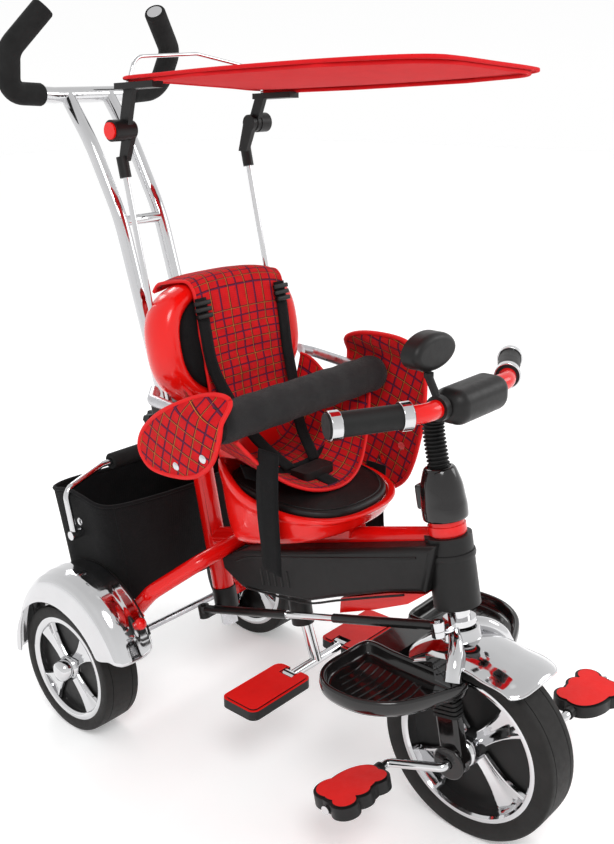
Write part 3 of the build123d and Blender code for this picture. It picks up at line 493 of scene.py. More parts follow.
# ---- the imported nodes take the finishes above
slotFinish = {
    "red_paint": redPaint, "red_plastic": redPlastic, "black_plastic": blackPlastic, "gloss_black": glossBlack,
    "black_paint": blackPaint, "chrome": chromePlate, "steel": zincSteel, "tyre": tyreFoam,
    "rubber": blackRubber, "foam": gripFoam, "plaid_fabric": plaidCloth, "red_fabric": redCloth,
    "mesh_fabric": blackCloth, "black_fabric": blackCloth, "webbing": webbing, "vinyl": vinyl,
    "mirror": mirrorFilm,
}
slotOf = {finish.name: slot for slot, finish in slotFinish.items()}
slotOf.update(knit="mesh_fabric", redPiping="plaid_fabric")
for node in frame["nodes"].values():
    for material in node.material_slots:
        material.material = slotFinish[material.material.name.split(".")[0]]


def powerSign(value, power):
    return (1 if value >= 0 else -1) * abs(value) ** power


# a rounded-square outline: u runs once round it
def roundedOutline(u, halfWide, halfHigh, square):
    angle = 2 * pi * u
    return halfWide * powerSign(cos(angle), 2 / square), halfHigh * powerSign(sin(angle), 2 / square)


# ---- backrest: red moulded shell, black pad in its recess, plaid cover over its top
print("stage: backrest")
backSettings = {
    "lean": 10, "halfWide": 140, "halfHigh": 95, "square": 2.9,
    "shell": [(0, 44), (0.5, 44), (0.74, 41), (0.88, 33), (0.96, 20), (1, 2), (0.985, -14), (0.94, -25),
              (0.88, -30), (0.81, -30.5), (0.775, -27), (0.765, -18), (0.4, -18), (0, -18)],
    "pad": [(0.755, -17), (0.755, -24), (0.735, -29), (0.68, -31.5), (0.5, -33), (0.25, -33.5), (0, -33.5)],
    "coverHalf": 88, "coverShift": 10, "coverFront": 36.5, "coverBack": 52, "coverTop": 98.5,
    "coverSquare": 4.5, "coverLow": -104, "coverRun": 0.36, "hem": 30, "wrinkle": 1.6,
}
backCentre = inBox("backrest_shell", 0.5, 0.5, 0.5)


# mm across, backwards and up the leaning backrest
def onBack(x, depth, high):
    lean = radians(backSettings["lean"])
    return backCentre + Vector((x, depth * cos(lean) + high * sin(lean),
                                high * cos(lean) - depth * sin(lean))) / 1000


def pillowBack(bm, profile, s, index=0, sides=72):
    last = len(profile) - 1

    def place(u, v):
        scale, depth = profile[round(v * last)]
        x, high = roundedOutline(u, s["halfWide"], s["halfHigh"], s["square"])
        narrow = 1 - 0.05 * smoothStep(-high / s["halfHigh"])
        return onBack(x * scale * narrow, depth, high * scale)

    def cloth(u, v):
        scale, depth = profile[round(v * last)]
        x, high = roundedOutline(u, s["halfWide"], s["halfHigh"], s["square"])
        return x * scale / 1000, high * scale / 1000

    surface(bm, sides, last, place, cloth, index)


def makeBackrest(s):
    bm = emptyMesh()
    pillowBack(bm, s["shell"], s)
    finishPiece("backrestShell", bm, redPlastic, ["backrest_shell"], subdivide=1)
    bm = emptyMesh()
    pillowBack(bm, s["pad"], s)
    pad = finishPiece("backrestPad", bm, blackCloth, ["backrest_pad"], subdivide=1)


# the cover's run from the seat, up the front, over the top and a little way down behind
def coverPoint(share, across, s):
    x = across * s["coverHalf"] + s["coverShift"]
    top = s["coverTop"] * (1 - abs(x / s["halfWide"]) ** s["square"]) ** (1 / s["square"])
    straight = 0.62
    if share < straight:
        depth, high = -s["coverFront"], lerp(s["coverLow"], top * 0.5, share / straight)
    else:
        angle = lerp(pi - 0.12, s["hem"] * pi / 180, (share - straight) / (1 - straight))
        reach = s["coverFront"] if cos(angle) < 0 else s["coverBack"]
        depth = reach * powerSign(cos(angle), 2 / s["coverSquare"])
        high = top * (0.5 + 0.5 * sin(angle) ** (2 / s["coverSquare"]))
    spot = Vector((across * 2.2, share * 7, 1.7))
    ripple = noise(spot) + 0.5 * noise(spot * 2.3)
    folds = sin(share * 34 + 2.2 * noise(spot * 0.8)) * smoothStep((0.42 - abs(share - 0.3)) / 0.3)
    depth -= (s["wrinkle"] * (ripple + 0.5) + 0.7 * folds) * (1 if depth < 0 else -1)
    edge = abs(across) ** 8
    high += 0.8 * ripple * smoothStep(share * 3 - 2)
    return onBack(x, depth + (1.6 * edge if depth < 0 else 0), high)


def makeCover(s):
    bm = emptyMesh()
    surface(bm, 40, 84, lambda u, v: coverPoint(v, 2 * u - 1, s),
            lambda u, v: ((2 * u - 1) * s["coverHalf"] / 1000, v * s["coverRun"]))
    cover = finishPiece("backrestCover", bm, plaidCloth, ["backrest_cover"],
                        thickness=0.0016)
    bm = emptyMesh()
    for side in (-1, 1):
        line = [coverPoint(k / 90, side, s) for k in range(91)]
        tube(bm, line, 2.4, sides=10)
    line = [coverPoint(1, k / 20 - 1, s) for k in range(41)]
    tube(bm, line, 2.2, sides=10)
    finishPiece("backrestPiping", bm, redPiping)


makeBackrest(backSettings)
makeCover(backSettings)

# ---- seat: red tub with a raised rear, black vinyl pad with a welt, plaid liner slung from the bar
print("stage: seat")
seatSettings = {
    "halfWide": 109, "front": 176, "rear": 400, "frontSquare": 2.5, "rearSquare": 4.2, "slope": 0.1,
    "rimZ": 416.4, "riseFrom": 305, "riseOver": 95, "rise": 40, "bottomZ": 393, "bottomSlope": -0.29,
    "tub": [(0, 0.0), (0.72, 0.0), (0.84, 0.02), (0.90, 0.22), (0.945, 0.55), (0.965, 0.74),
            (0.985, 0.80), (1.0, 0.86), (1.0, 0.95), (0.985, 1.0), (0.93, 1.0), (0.905, 0.97),
            (0.895, 0.82), (0.6, 0.80), (0, 0.80)],
    "padScale": 0.885, "padRise": 9, "welt": 2.2,
}


# a place on the seat: scale 1 is the rim's outside, 0 the middle
def seatPlan(u, scale, s):
    middle = lerp(s["front"], s["rear"], 0.5)
    square = s["frontSquare"] if sin(2 * pi * u) < 0 else s["rearSquare"]
    x, y = roundedOutline(u, s["halfWide"], (s["rear"] - s["front"]) / 2, square)
    return x * scale, middle + y * scale


def seatRim(x, y, s):
    rise = s["rise"] * smoothStep((y - s["riseFrom"]) / s["riseOver"])
    return s["rimZ"] + s["slope"] * (y - s["front"]), rise * min(1, abs(x / s["halfWide"]) ** 1.5 * 1.2)


def makeSeat(s):
    bm = emptyMesh()
    last = len(s["tub"]) - 1

    def place(u, v):
        scale, level = s["tub"][round(v * last)]
        x, y = seatPlan(u, scale, s)
        rim, rise = seatRim(x, y, s)
        lift = rise * level if round(v * last) < last - 2 else 0
        base = s["bottomZ"] + s["bottomSlope"] * (y - s["front"])
        return at(x, y, lerp(base, rim, level) + lift)

    surface(bm, 96, last, place)
    finishPiece("seatTub", bm, redPlastic, ["seat_base"], subdivide=1, sharp=80)
    bm = emptyMesh()
    pad = [(1.0, 0), (1.0, 0.55), (0.985, 0.85), (0.95, 1.0), (0.90, 0.93), (0.86, 1.02), (0.6, 1.35), (0.3, 1.5),
           (0, 1.55)]
    end = len(pad) - 1

    def padPlace(u, v):
        scale, level = pad[round(v * end)]
        x, y = seatPlan(u, scale * s["padScale"], s)
        rim, _ = seatRim(x, y, s)
        return at(x, y, rim - 3 + s["padRise"] * level)

    surface(bm, 96, end, padPlace, lambda u, v: seatPlan(u, 0.001 * pad[round(v * end)][0], s))
    welt = []
    for k in range(96):
        x, y = seatPlan(k / 96, s["padScale"] * 0.925, s)
        welt.append(at(x, y, seatRim(x, y, s)[0] - 3 + s["padRise"] * 1.02))
    tube(bm, welt, s["welt"] / 2, sides=8, closed=True)
    cushion = finishPiece("seatPad", bm, vinyl, ["seat_pad"], subdivide=1, sharp=80)


makeSeat(seatSettings)

linerSettings = {"half": 140, "backY": 416, "frontMid": 236, "frontSide": 296, "padLift": 13, "thick": 1.6,
                 "sideBack": 118, "sideFront": 84, "power": 2.6, "wrinkle": 2.2, "rearLip": 26,
                 "flat": (0.42, 0.17)}


def linerPoint(across, share, s):
    side = abs(across)
    y = lerp(s["backY"], lerp(s["frontMid"], s["frontSide"], side ** 1.7), share)
    floor = seatSettings["rimZ"] + seatSettings["slope"] * (y - seatSettings["front"]) + s["padLift"]
    rise = lerp(s["sideBack"], s["sideFront"], smoothStep(share * 1.6)) * side ** s["power"]
    spot = Vector((across * 2.6, share * 3.1, 4.4))
    ripple = (noise(spot) + 0.5 * noise(spot * 2.1)) * smoothStep(side * 2.2 - 0.4) * s["wrinkle"]
    x = s["half"] * (across - 0.14 * across * side ** 3 * (1 - share)) + ripple * (1 if across > 0 else -1)
    return at(x, y, floor + rise + ripple + s["rearLip"] * (1 - smoothStep(share * 7)) * (1 - side))


def makeLiner(s):
    bm = emptyMesh()
    wide, long = s["flat"]
    surface(bm, 64, 36, lambda u, v: linerPoint(2 * u - 1, v, s), lambda u, v: ((u - 0.5) * wide, v * long))
    liner = finishPiece("seatLiner", bm, plaidCloth, thickness=s["thick"] / 1000)
    bm = emptyMesh()
    tube(bm, [linerPoint(k / 32 - 1, 1, s) for k in range(65)], 2.6, sides=10)
    for side in (-1, 1):
        tube(bm, [linerPoint(side, k / 24, s) for k in range(25)], 2.4, sides=10)
    finishPiece("linerPiping", bm, redPiping)


makeLiner(linerSettings)

# ---- the plaid wings that button round the safety bar, with piping and snaps
print("stage: wings")
wingSettings = {
    "near": {"side": -1, "outline": [(290, 584), (288, 545), (304, 504), (340, 476), (392, 466), (432, 470),
                                     (450, 492), (436, 524), (392, 558), (335, 584)],
             "curlFrom": 556, "curl": 24, "snaps": [(372, 484), (320, 506)], "flat": (0.17, 0.13), "area": 0.0138},
    "far": {"side": 1, "outline": [(232, 606), (220, 560), (226, 470), (252, 390), (300, 364), (342, 400),
                                   (360, 480), (366, 560), (354, 600), (300, 614)],
            "curlFrom": 572, "curl": 20, "snaps": [(300, 410), (262, 440)], "flat": (0.15, 0.26), "area": 0.030},
}


def makeWing(name, s, outX):
    line = smoothLine([(0, y, z) for y, z in s["outline"]], 96, closed=True)
    middle = sum(line, Vector()) / len(line)

    def shape(y, z, share):
        inward = s["curl"] * smoothStep((z - s["curlFrom"]) / 34)
        bulge = 5 * (1 - share * share) + 1.4 * noise(Vector((y, z, 7)) / 38)
        return at(s["side"] * (outX - inward + bulge), y, z)

    def place(u, v):
        p = middle.lerp(line[round(u * 96) % 96], v)
        return shape(p.y, p.z, v)

    def cloth(u, v):
        p = middle.lerp(line[round(u * 96) % 96], v)
        return (p.y + 0.35 * p.z) / 1000, (p.z - 0.35 * p.y) / 1000

    bm = emptyMesh()
    surface(bm, 96, 16, place, cloth)
    wing = finishPiece(name, bm, plaidCloth, ["side_panels"], thickness=0.002)
    bm = emptyMesh()
    tube(bm, [shape(p.y, p.z, 1) for p in line], 3.4, sides=12, closed=True)
    finishPiece(name + "Piping", bm, redPiping)
    bm = emptyMesh()
    for y, z in s["snaps"]:
        base = shape(y, z, 0.8)
        turned(bm, base, Vector((s["side"], 0, 0)), [(-1, 0.1), (-1, 6.2), (1.2, 6.6),
                                                    (2.6, 5.2), (3.4, 2.8), (3.6, 0.1)], 24)
    finishPiece(name + "Snaps", bm, chromePlate)


wingLow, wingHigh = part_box("side_panels")
for wingName, wing in wingSettings.items():
    makeWing(wingName + "Wing", wing, (wingHigh.x * 1000) - 2)

# ---- safety bar pad in knitted mesh
guardSettings = {"radius": 27, "half": 166, "y": 307, "z": 551, "sag": 1.2}


def knitLike(name, color, pitch=0.0042):
    mat, tree, shader = newMaterial(name)
    u, v = clothUv(tree)
    a, b = (waveOn(tree, mathNode(tree, way, u, v), pitch) for way in ("ADD", "SUBTRACT"))
    holes = times(tree, mathNode(tree, "ABSOLUTE", a), mathNode(tree, "ABSOLUTE", b))
    feedAll(tree, shader, {"Base Color": mixColors(tree, holes, shadeOf(color, 1.7), shadeOf(color, 0.2)),
                           "Roughness": remap(tree, noiseOn(tree, objectPlace(tree), 90), 0.55, 0.75),
                           "Sheen Weight": 0.1, "Specular IOR Level": 0.15})
    bumpFrom(tree, shader, mathNode(tree, "SUBTRACT", 1.0, holes), 0.9, 0.0008)
    return mat


knit = knitLike("knit", (0.006, 0.006, 0.0065))


def makeGuardPad(s):
    line = [at(lerp(-s["half"], s["half"], k / 60), s["y"], s["z"]) for k in range(61)]

    def radius(share):
        end = min(share, 1 - share) * 2 * s["half"]
        return (s["radius"] - 3.2 * (1 - smoothStep(end / 9)) + 0.5 * sin(share * 40)
                + 0.6 * noise(Vector((share * 9, 3, 1))))

    bm = emptyMesh()
    tube(bm, line, radius, sides=40)
    pad = finishPiece("guardPad", bm, knit, ["guard_pad"], sharp=60)


makeGuardPad(guardSettings)

# ---- harness: webbing, shoulder adjusters and the buckle
print("stage: harness")
strapSettings = {
    "thick": 1.7, "shoulder": 21, "hang": 36, "tops": {-1: -72, 1: 86}, "lows": {-1: -60, 1: 74},
    "hip": [(-96, 330, 462), (-60, 316, 448), (0, 306, 445), (60, 316, 448), (96, 330, 462)],
    "crotch": [(0, 300, 445), (0, 268, 441), (0, 236, 434)],
    # depth, height, width and thickness of each bar of an adjuster
    "bars": [(-43, 50, 30, 5), (-44, 41, 27, 8), (-43, 59, 30, 4.5)],
}


def roundedBlock(bm, centre, size, rotation, radius, index=0):
    made = bmesh.ops.create_cube(bm, size=1)["verts"]
    for vert in made:
        vert.co = Vector((vert.co.x * size[0], vert.co.y * size[1], vert.co.z * size[2])) / 1000
    edges = list({e for v in made for e in v.link_edges})
    out = bmesh.ops.bevel(bm, geom=edges, offset=radius / 1000, offset_type="OFFSET", segments=3, profile=0.5,
                          affect="EDGES", clamp_overlap=True, material=-1)
    verts = list({v for f in out["faces"] for v in f.verts} | {v for v in made if v.is_valid})
    bmesh.ops.transform(bm, matrix=Matrix.Translation(centre) @ rotation.to_4x4(), verts=verts)
    for face in {f for v in verts for f in v.link_faces}:
        face.material_index = index


def makeAdjusters(s):
    bm = emptyMesh()
    lean = spin(-backSettings["lean"], "X")
    for x in s["tops"].values():
        for depth, high, wide, thick in s["bars"]:
            roundedBlock(bm, onBack(x, depth, high), (wide, thick, 6.5), lean, 1.6)
    finishPiece("strapAdjusters", bm, blackPlastic)


makeAdjusters(strapSettings)


# a flat band along a line; side(share) is the direction of its width
def ribbon(bm, line, width, side):
    last = len(line) - 1
    length = sum((b - a).length for a, b in zip(line, line[1:]))
    surface(bm, 4, last, lambda u, v: line[round(v * last)] + side(v) * (u - 0.5) * width / 1000,
            lambda u, v: (u * width / 1000, v * length))


def makeStraps(s):
    bm = emptyMesh()
    level = Vector((1, 0, 0))
    for side, top in s["tops"].items():
        points = [onBack(top, -40, 66), onBack(top, -40.5, 20), onBack(top * 0.97, -41, -30),
                  onBack(s["lows"][side], -52, -78), at(side * 46, 352, 492), at(side * 26, 306, 452)]
        ribbon(bm, smoothLine(points, 60), s["shoulder"], lambda v: level)
    ribbon(bm, smoothLine([at(*p) for p in s["hip"]], 40), s["shoulder"], lambda v: Vector((0, 0.5, 0.85)))
    ribbon(bm, smoothLine([at(*p) for p in s["crotch"]], 16), s["shoulder"] + 3, lambda v: level)
    for side, y, top, low in ((-1, 262, 512, 336), (1, 262, 430, 322)):
        line = [at(side * (114.5 + 2.2 * sin(k / 40 * 5)), y + 3 * sin(k / 40 * 3), lerp(top, low, k / 40))
                for k in range(41)]
        ribbon(bm, line, s["hang"], lambda v: Vector((0.10 * side * sin(v * 4), 1, 0.02)).normalized())
    finishPiece("harnessStraps", bm, webbing, ["harness_straps"], thickness=s["thick"] / 1000)


makeStraps(strapSettings)
dressed("harness_buckle", 0.003)

# ---- rear fenders: domed plated bands with a rolled outer skirt, black inner trim and a red rivet
print("stage: fenders")
rearFender = {
    "centre": (585, 105), "wheel": (604, 103), "reach": 140, "rise": 166, "skirt": 114,
    "section": [(0, 168, 0.955), (0.06, 168, 0.985), (0.14, 172, 1.0), (0.4, 196, 1.012), (0.6, 214, 1.0),
                (0.74, 227, 0.972), (0.86, 235, 0.925), (0.94, 238, 0.87)],
    "front": 159, "rear": -2, "round": 10, "relief": 3.0,
}


def rearFenderPoint(side, u, share, s, lift=0):
    corner = abs(2 * u - 1) ** 4 * s["round"]
    angle = radians(lerp(s["rear"] + (0 if u > 0.5 else corner), s["front"] - corner, share))
    y0, z0 = s["centre"]
    wy, wz = s["wheel"]
    last = s["section"][-1]
    if u <= last[0]:
        x = table([(a, b) for a, b, _ in s["section"]], u)
        scale = table([(a, c) for a, _, c in s["section"]], u)
        bump = s["relief"] * smoothStep(1 - ((u - 0.55) / 0.26) ** 2)
        out = bump * smoothStep(1 - ((share - 0.84) / 0.13) ** 2) + lift
        reach, rise = s["reach"] * scale + out, s["rise"] * scale + out
        return at(side * x, y0 + reach * cos(angle), z0 + rise * sin(angle))
    end = rearFenderPoint(side, last[0], share, s, lift)
    foot = at(side * 239, wy + s["skirt"] * cos(angle), wz + s["skirt"] * sin(angle))
    return end.lerp(foot, (u - last[0]) / (1 - last[0]))


def makeRearFenders(s):
    bm = emptyMesh()
    trim = emptyMesh()
    rivets = emptyMesh()
    for side in (-1, 1):
        surface(bm, 36, 64, lambda u, v: rearFenderPoint(side, u, v, s))
        line = [rearFenderPoint(side, 0.03, lerp(0.3, 0.985, k / 40), s) for k in range(41)]
        tube(trim, line, 4.2, sides=10)
        rivet = rearFenderPoint(side, 0.2, 0.9, s)
        turned(rivets, rivet, (rearFenderPoint(side, 0.2, 0.9, s, 10) - rivet).normalized(),
               [(0, 9), (4, 9), (7.5, 6.5), (9, 3), (9.4, 0.1)], 20)
    finishPiece("rearFenderSkins", bm, chromePlate, ["rear_fenders"], thickness=0.0025,
                subdivide=1)
    finishPiece("rearFenderTrim", trim, blackRubber)
    finishPiece("rearFenderRivets", rivets, redPaint)


makeRearFenders(rearFender)

# ---- front fender: a domed band that flares at its tip, with two arms down to the tray and a collar
frontFender = {"radius": 151.5, "front": 36, "rear": -38, "half": 50, "halfFront": 53, "drop": 17, "flare": 10,
               "lean": 11, "arm": [(17, 30, 291), (36, 14, 284), (54, 4, 268), (63, 0, 250)]}


def frontFenderPoint(across, share, s):
    corner = 4 * abs(across) ** 7
    angle = radians(lerp(s["rear"] + corner, s["front"] - corner, share))
    half = lerp(s["half"], s["halfFront"], smoothStep(share * 1.5 - 0.5))
    flare = s["flare"] * smoothStep((share - 0.72) / 0.28)
    radius = s["radius"] - s["drop"] * abs(across) ** 2.6 + flare
    return at(half * across, -radius * sin(angle), 130 + radius * cos(angle))


def makeFrontFender(s):
    bm = emptyMesh()
    surface(bm, 40, 56, lambda u, v: frontFenderPoint(2 * u - 1, v, s))
    finishPiece("frontFenderSkin", bm, chromePlate, ["front_fender"], "steering", thickness=0.0024,
                subdivide=1)
    bm = emptyMesh()
    tube(bm, [frontFenderPoint(k / 20 - 1, 1, s) for k in range(41)], 1.7, sides=8)
    for side in (-1, 1):
        tube(bm, [frontFenderPoint(side, k / 30, s) for k in range(31)], 1.7, sides=8)
        line = smoothLine([(side * x, y, z) for x, y, z in s["arm"]], 24)
        tube(bm, [at(*p) for p in line], lambda share: lerp(8.5, 12, share), sides=16)
    axis = Vector((0, sin(radians(s["lean"])), cos(radians(s["lean"]))))
    turned(bm, frontAxle, axis, [(140, 20.5), (140, 40), (142.5, 41), (146, 36), (149, 28),
                                    (152, 26.2), (163, 25.6), (165.5, 24.5), (165.8, 20.5)], 48)
    finishPiece("frontFenderArms", bm, chromePlate, body="steering", sharp=60)


makeFrontFender(frontFender)

# ---- foot tray: two rounded wells with ribbed floors, joined behind the wheel
print("stage: tray")
traySettings = {"top": 248, "low": 224, "floor": 231, "ribs": 9,
                "lobe": [(46, -13), (92, -1), (140, 24), (166, 58), (173, 94), (166, 130), (136, 153), (88, 155),
                         (46, 148), (45, 100), (44.5, 40)]}


def makeTray(s):
    bm = emptyMesh()
    profile = [(0.0, s["low"], 0), (0.6, s["low"], 0), (1.0, s["low"] + 1.5, 5), (1.0, s["low"] + 7, 1.5),
               (1.0, s["top"] - 9, 0), (1.0, s["top"] - 3, 0.4), (1.0, s["top"] - 0.6, 1.8), (1.0, s["top"], 4),
               (1.0, s["top"] - 0.8, 6.4), (1.0, s["top"] - 4, 7.6), (1.0, s["floor"] + 4, 9.5),
               (1.0, s["floor"] + 0.8, 12), (1.0, s["floor"], 15)]
    for side in (-1, 1):
        line = smoothLine([(side * x, y, 0) for x, y in s["lobe"]], 96, closed=True)
        middle = sum(line, Vector()) / len(line)
        count = len(profile) + 12

        def place(u, v):
            i = round(v * count)
            p = line[round(u * 96) % 96]
            a, b = line[round(u * 96 - 2) % 96], line[round(u * 96 + 2) % 96]
            along = (b - a).normalized()
            inward = Vector((-along.y, along.x, 0))
            if inward.dot(middle - p) < 0:
                inward = -inward
            if i < len(profile):
                scale, z, inset = profile[i]
                q = middle + (p - middle) * scale + inward * inset
                return at(q.x, q.y, z)
            q = (p + inward * 15).lerp(middle, (i - len(profile) + 1) / 13)
            return at(q.x, q.y, s["floor"])

        surface(bm, 96, count, place)
        for k in range(s["ribs"]):
            y = 38 + 11.5 * k
            out = 145 - 30 * ((k - 4.5) / 4.5) ** 2
            rib = smoothLine([(side * 72, y + 4, 0), (side * 100, y, 0), (side * out, y + 3, 0)], 14)
            tube(bm, [at(p.x, p.y, s["floor"]) for p in rib], 1.6, sides=8)
    for vert in bmesh.ops.create_cube(bm, size=1)["verts"]:
        vert.co = at(vert.co.x * 92, 122 + vert.co.y * 46, lerp(s["low"] + 2, s["top"] - 3, vert.co.z + 0.5))
    finishPiece("footTray", bm, glossBlack, ["foot_tray"], "steering", sharp=70)


makeTray(traySettings)

# ---- wheels: turned tyres, plated rims with four flared spokes on a black web
print("stage: wheels")
rearWheel = {"hub": 20, "hubHalf": 29, "inner": 85, "lip": 10, "narrow": 10, "wide": 30, "dish": 3, "bore": 6.1}
wheelSettings = [
    {"body": "front_wheel", "tyre": "front_tyre", "rim": "front_rim", "hub": 22, "hubHalf": 39.6, "inner": 104,
     "lip": 9, "narrow": 12, "wide": 37, "dish": 4, "bore": 6.0, "standOut": (0, 0)},
    {"body": "rear_wheel_right", "tyre": "rear_tyre_right", "rim": "rear_rim_right", "standOut": (-14, 0),
     **rearWheel},
    {"body": "rear_wheel_left", "tyre": "rear_tyre_left", "rim": "rear_rim_left", "standOut": (0, 14),
     **rearWheel},
]


def makeWheel(s):
    low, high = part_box(s["tyre"])
    centre = (low + high) / 2
    half, radius = (high.x - low.x) * 500, (high.z - low.z) * 500
    inner, lip, hub, hubHalf, bore = (s[key] for key in ("inner", "lip", "hub", "hubHalf", "bore"))
    axle = Vector((1, 0, 0))
    crown = [(1, 0.90), (0.995, 0.965), (0.96, 0.985), (0.88, 0.995), (0.66, 0.9985), (0.62, 0.9985),
             (0.605, 0.991), (0.585, 0.991), (0.57, 0.999), (0.3, 1.0), (0, 1.0)]
    edge = [(a, inner + (radius - inner) * (b - 0.8) / 0.2 if b < 0.99 else radius * b) for a, b in crown]
    right = [(-half * a, r) for a, r in edge]
    left = [(half * a, r) for a, r in reversed(edge[:-1])]
    bead = [(half * 0.985, inner + 4), (half * 0.93, inner)]
    bm = emptyMesh()
    start = [(-a, r) for a, r in reversed(bead)]
    turned(bm, centre, axle, start + right + left + bead + [(-half * 0.93, inner)], 128)
    finishPiece(s["tyre"] + "_turned", bm, tyreFoam, [s["tyre"]], s["body"], sharp=40)

    bm = emptyMesh()
    side = half - 3
    ring = [(-side, inner + 1), (-side - 1.5, inner - 2), (-side - 1, inner - lip * 0.7),
            (-side + 2.5, inner - lip), (-side + 9, inner - 6), (0, inner - 6)]
    turned(bm, centre, axle, ring + [(-a, r) for a, r in reversed(ring[:-1])], 96)
    turned(bm, centre, axle, [(-hubHalf, bore), (-hubHalf, hub - 3), (-hubHalf + 3, hub), (hubHalf - 3, hub),
                              (hubHalf, hub - 3), (hubHalf, bore)], 48)
    for face, out in zip((-1, 1), s["standOut"]):
        for i in range(4):
            turn = spin(45 + 90 * i, "X")

            def place(u, v):
                across = 2 * u - 1
                width = lerp(s["narrow"], s["wide"], v ** 2.4)
                ridge = s["dish"] * (abs(across) ** 2 * 0.9 - smoothStep(1 - abs(across) * 2.2) * 0.2)
                fall = 6 * smoothStep((abs(across) - 0.86) / 0.14)
                x = face * (9 + ridge - fall) + out
                return centre + turn @ Vector((x, width * across, lerp(hub * 0.9, inner - 3, v))) / 1000

            surface(bm, 20, 14, place)
    shift = sum(s["standOut"])
    turned(bm, centre + axle * shift / 1000, axle,
           [(-2.5, hub - 2), (-2.5, inner - 5), (2.5, inner - 5), (2.5, hub - 2)], 64, index=1)
    if shift:
        turned(bm, centre, axle * (1 if shift > 0 else -1),
               [(hubHalf, hub - 1), (hubHalf + 9, 17), (hubHalf + 15, 14.5), (hubHalf + 18, 8),
                (hubHalf + 18.6, 0.1)], 40)
    finishPiece(s["rim"] + "_plated", bm, [chromePlate, blackPlastic], [s["rim"]], s["body"], sharp=45)


for wheel in wheelSettings:
    makeWheel(wheel)

# ---- pedals and foot pads: black bodies under red textured treads
print("stage: pedals")
pedalTilt = spin(-12, "X") @ Vector((0, 0, 1))


def treadPaint(node, direction):
    low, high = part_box(node)
    middle = (low + high) / 2
    return lambda centre, normal: 1 if abs(normal.dot(direction)) > 0.98 and (
        abs((centre - middle).dot(direction)) > 0.0092) else 0


dressed("pedal_right", 0.0012, [blackPlastic, redRubber], treadPaint("pedal_right", pedalTilt))
dressed("pedal_left", 0.0012, [blackPlastic, redRubber], treadPaint("pedal_left", Vector((0, 0, 1))))
for pad in ("footpad_right", "footpad_left"):
    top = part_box(pad)[1].z
    dressed(pad, 0.0012, [blackPlastic, redRubber],
            lambda centre, normal: 1 if normal.z > 0.98 and centre.z > top - 0.003 else 0)
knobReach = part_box("canopy_knobs")[1].x
dressed("canopy_knobs", 0.0008, [blackPlastic, redPlastic],
        lambda centre, normal: 1 if abs(centre.x) > knobReach - 0.0025 else 0)

# ---- steering: ribbed gooseneck, soft-edged covers and levers
print("stage: steering")
neckSettings = {"line": [(0, 72.5, 503), (0, 79, 532), (0, 84, 562), (0, 80, 580), (0, 66, 592), (0, 47, 597.5),
                         (0, 28, 600)], "radius": 12.8, "rib": 1.9, "pitch": 5.2}


def makeNeck(s):
    line = [at(*p) for p in smoothLine(s["line"], 260)]
    length = sum((b - a).length for a, b in zip(line, line[1:])) * 1000

    def radius(share):
        wave = cos(2 * pi * share * length / s["pitch"])
        return s["radius"] + s["rib"] * powerSign(wave, 0.6)

    bm = emptyMesh()
    tube(bm, line, radius, sides=28)
    finishPiece("gooseneckBellows", bm, blackRubber, ["gooseneck"], "steering", sharp=80)


makeNeck(neckSettings)
bootProfile = [(313, 23.5), (313, 29), (316, 30.2), (338, 30.2), (342, 29.6), (350, 29),
               (362, 28.4), (374, 27.2), (384, 25), (400, 21.5), (404, 19), (404, 15.5)]
steerAxis = Vector((0, sin(radians(frontFender["lean"])), cos(radians(frontFender["lean"]))))


def makeBoot():
    bm = emptyMesh()
    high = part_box("stem_boot")[1].z
    top = (high - frontAxle.z) / steerAxis.z * 1000 - 2
    foot, head = bootProfile[0][0], bootProfile[-1][0]
    share = (top - foot) / (head - foot)
    turned(bm, frontAxle, steerAxis, [(foot + (a - foot) * share, r) for a, r in bootProfile], 48)
    turn = spin(-frontFender["lean"], "X")
    roundedBlock(bm, frontAxle + steerAxis * 0.335 + Vector((0, 0.031, 0)), (22, 14, 34), turn, 4)
    finishPiece("stemBoot", bm, glossBlack, ["stem_boot"], "steering", subdivide=1, sharp=60)


makeBoot()
linkLow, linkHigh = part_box("steering_link")


def linkPaint(centre, normal):
    share = (centre.y - linkLow.y) / (linkHigh.y - linkLow.y)
    return 1 if 0.44 < share < 0.60 or share < 0.035 else 0


dressed("steering_link", 0.0006, [blackPaint, chromePlate], linkPaint)

shroudLines = {"upper": [(74, 392), (150, 368), (260, 334), (372, 300), (404, 284)],
               "lower": [(92, 333), (150, 309), (205, 286), (262, 262), (330, 252), (384, 246)], "vents": 5}


def makeShroudLines(s):
    bm = emptyMesh()
    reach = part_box("frame_shroud")[1].x * 1000
    for side in (-1, 1):
        for name in ("upper", "lower"):
            line = smoothLine([(side * (reach - 0.4), y, z) for y, z in s[name]], 40)
            tube(bm, [at(*p) for p in line], 1.7, sides=8)
        for k in range(s["vents"]):
            y, z = 300 + 13 * k, 300 - 3.2 * k
            tube(bm, [at(side * (reach - 0.6), y, z), at(side * (reach - 0.6), y - 5, z - 24)], 2.2, sides=8)
    turned(bm, frontAxle, steerAxis, [(262, 31), (262, 32.4), (266, 33.2), (270, 32.4),
                                         (270, 31)], 48)
    finishPiece("shroudLines", bm, blackPlastic)


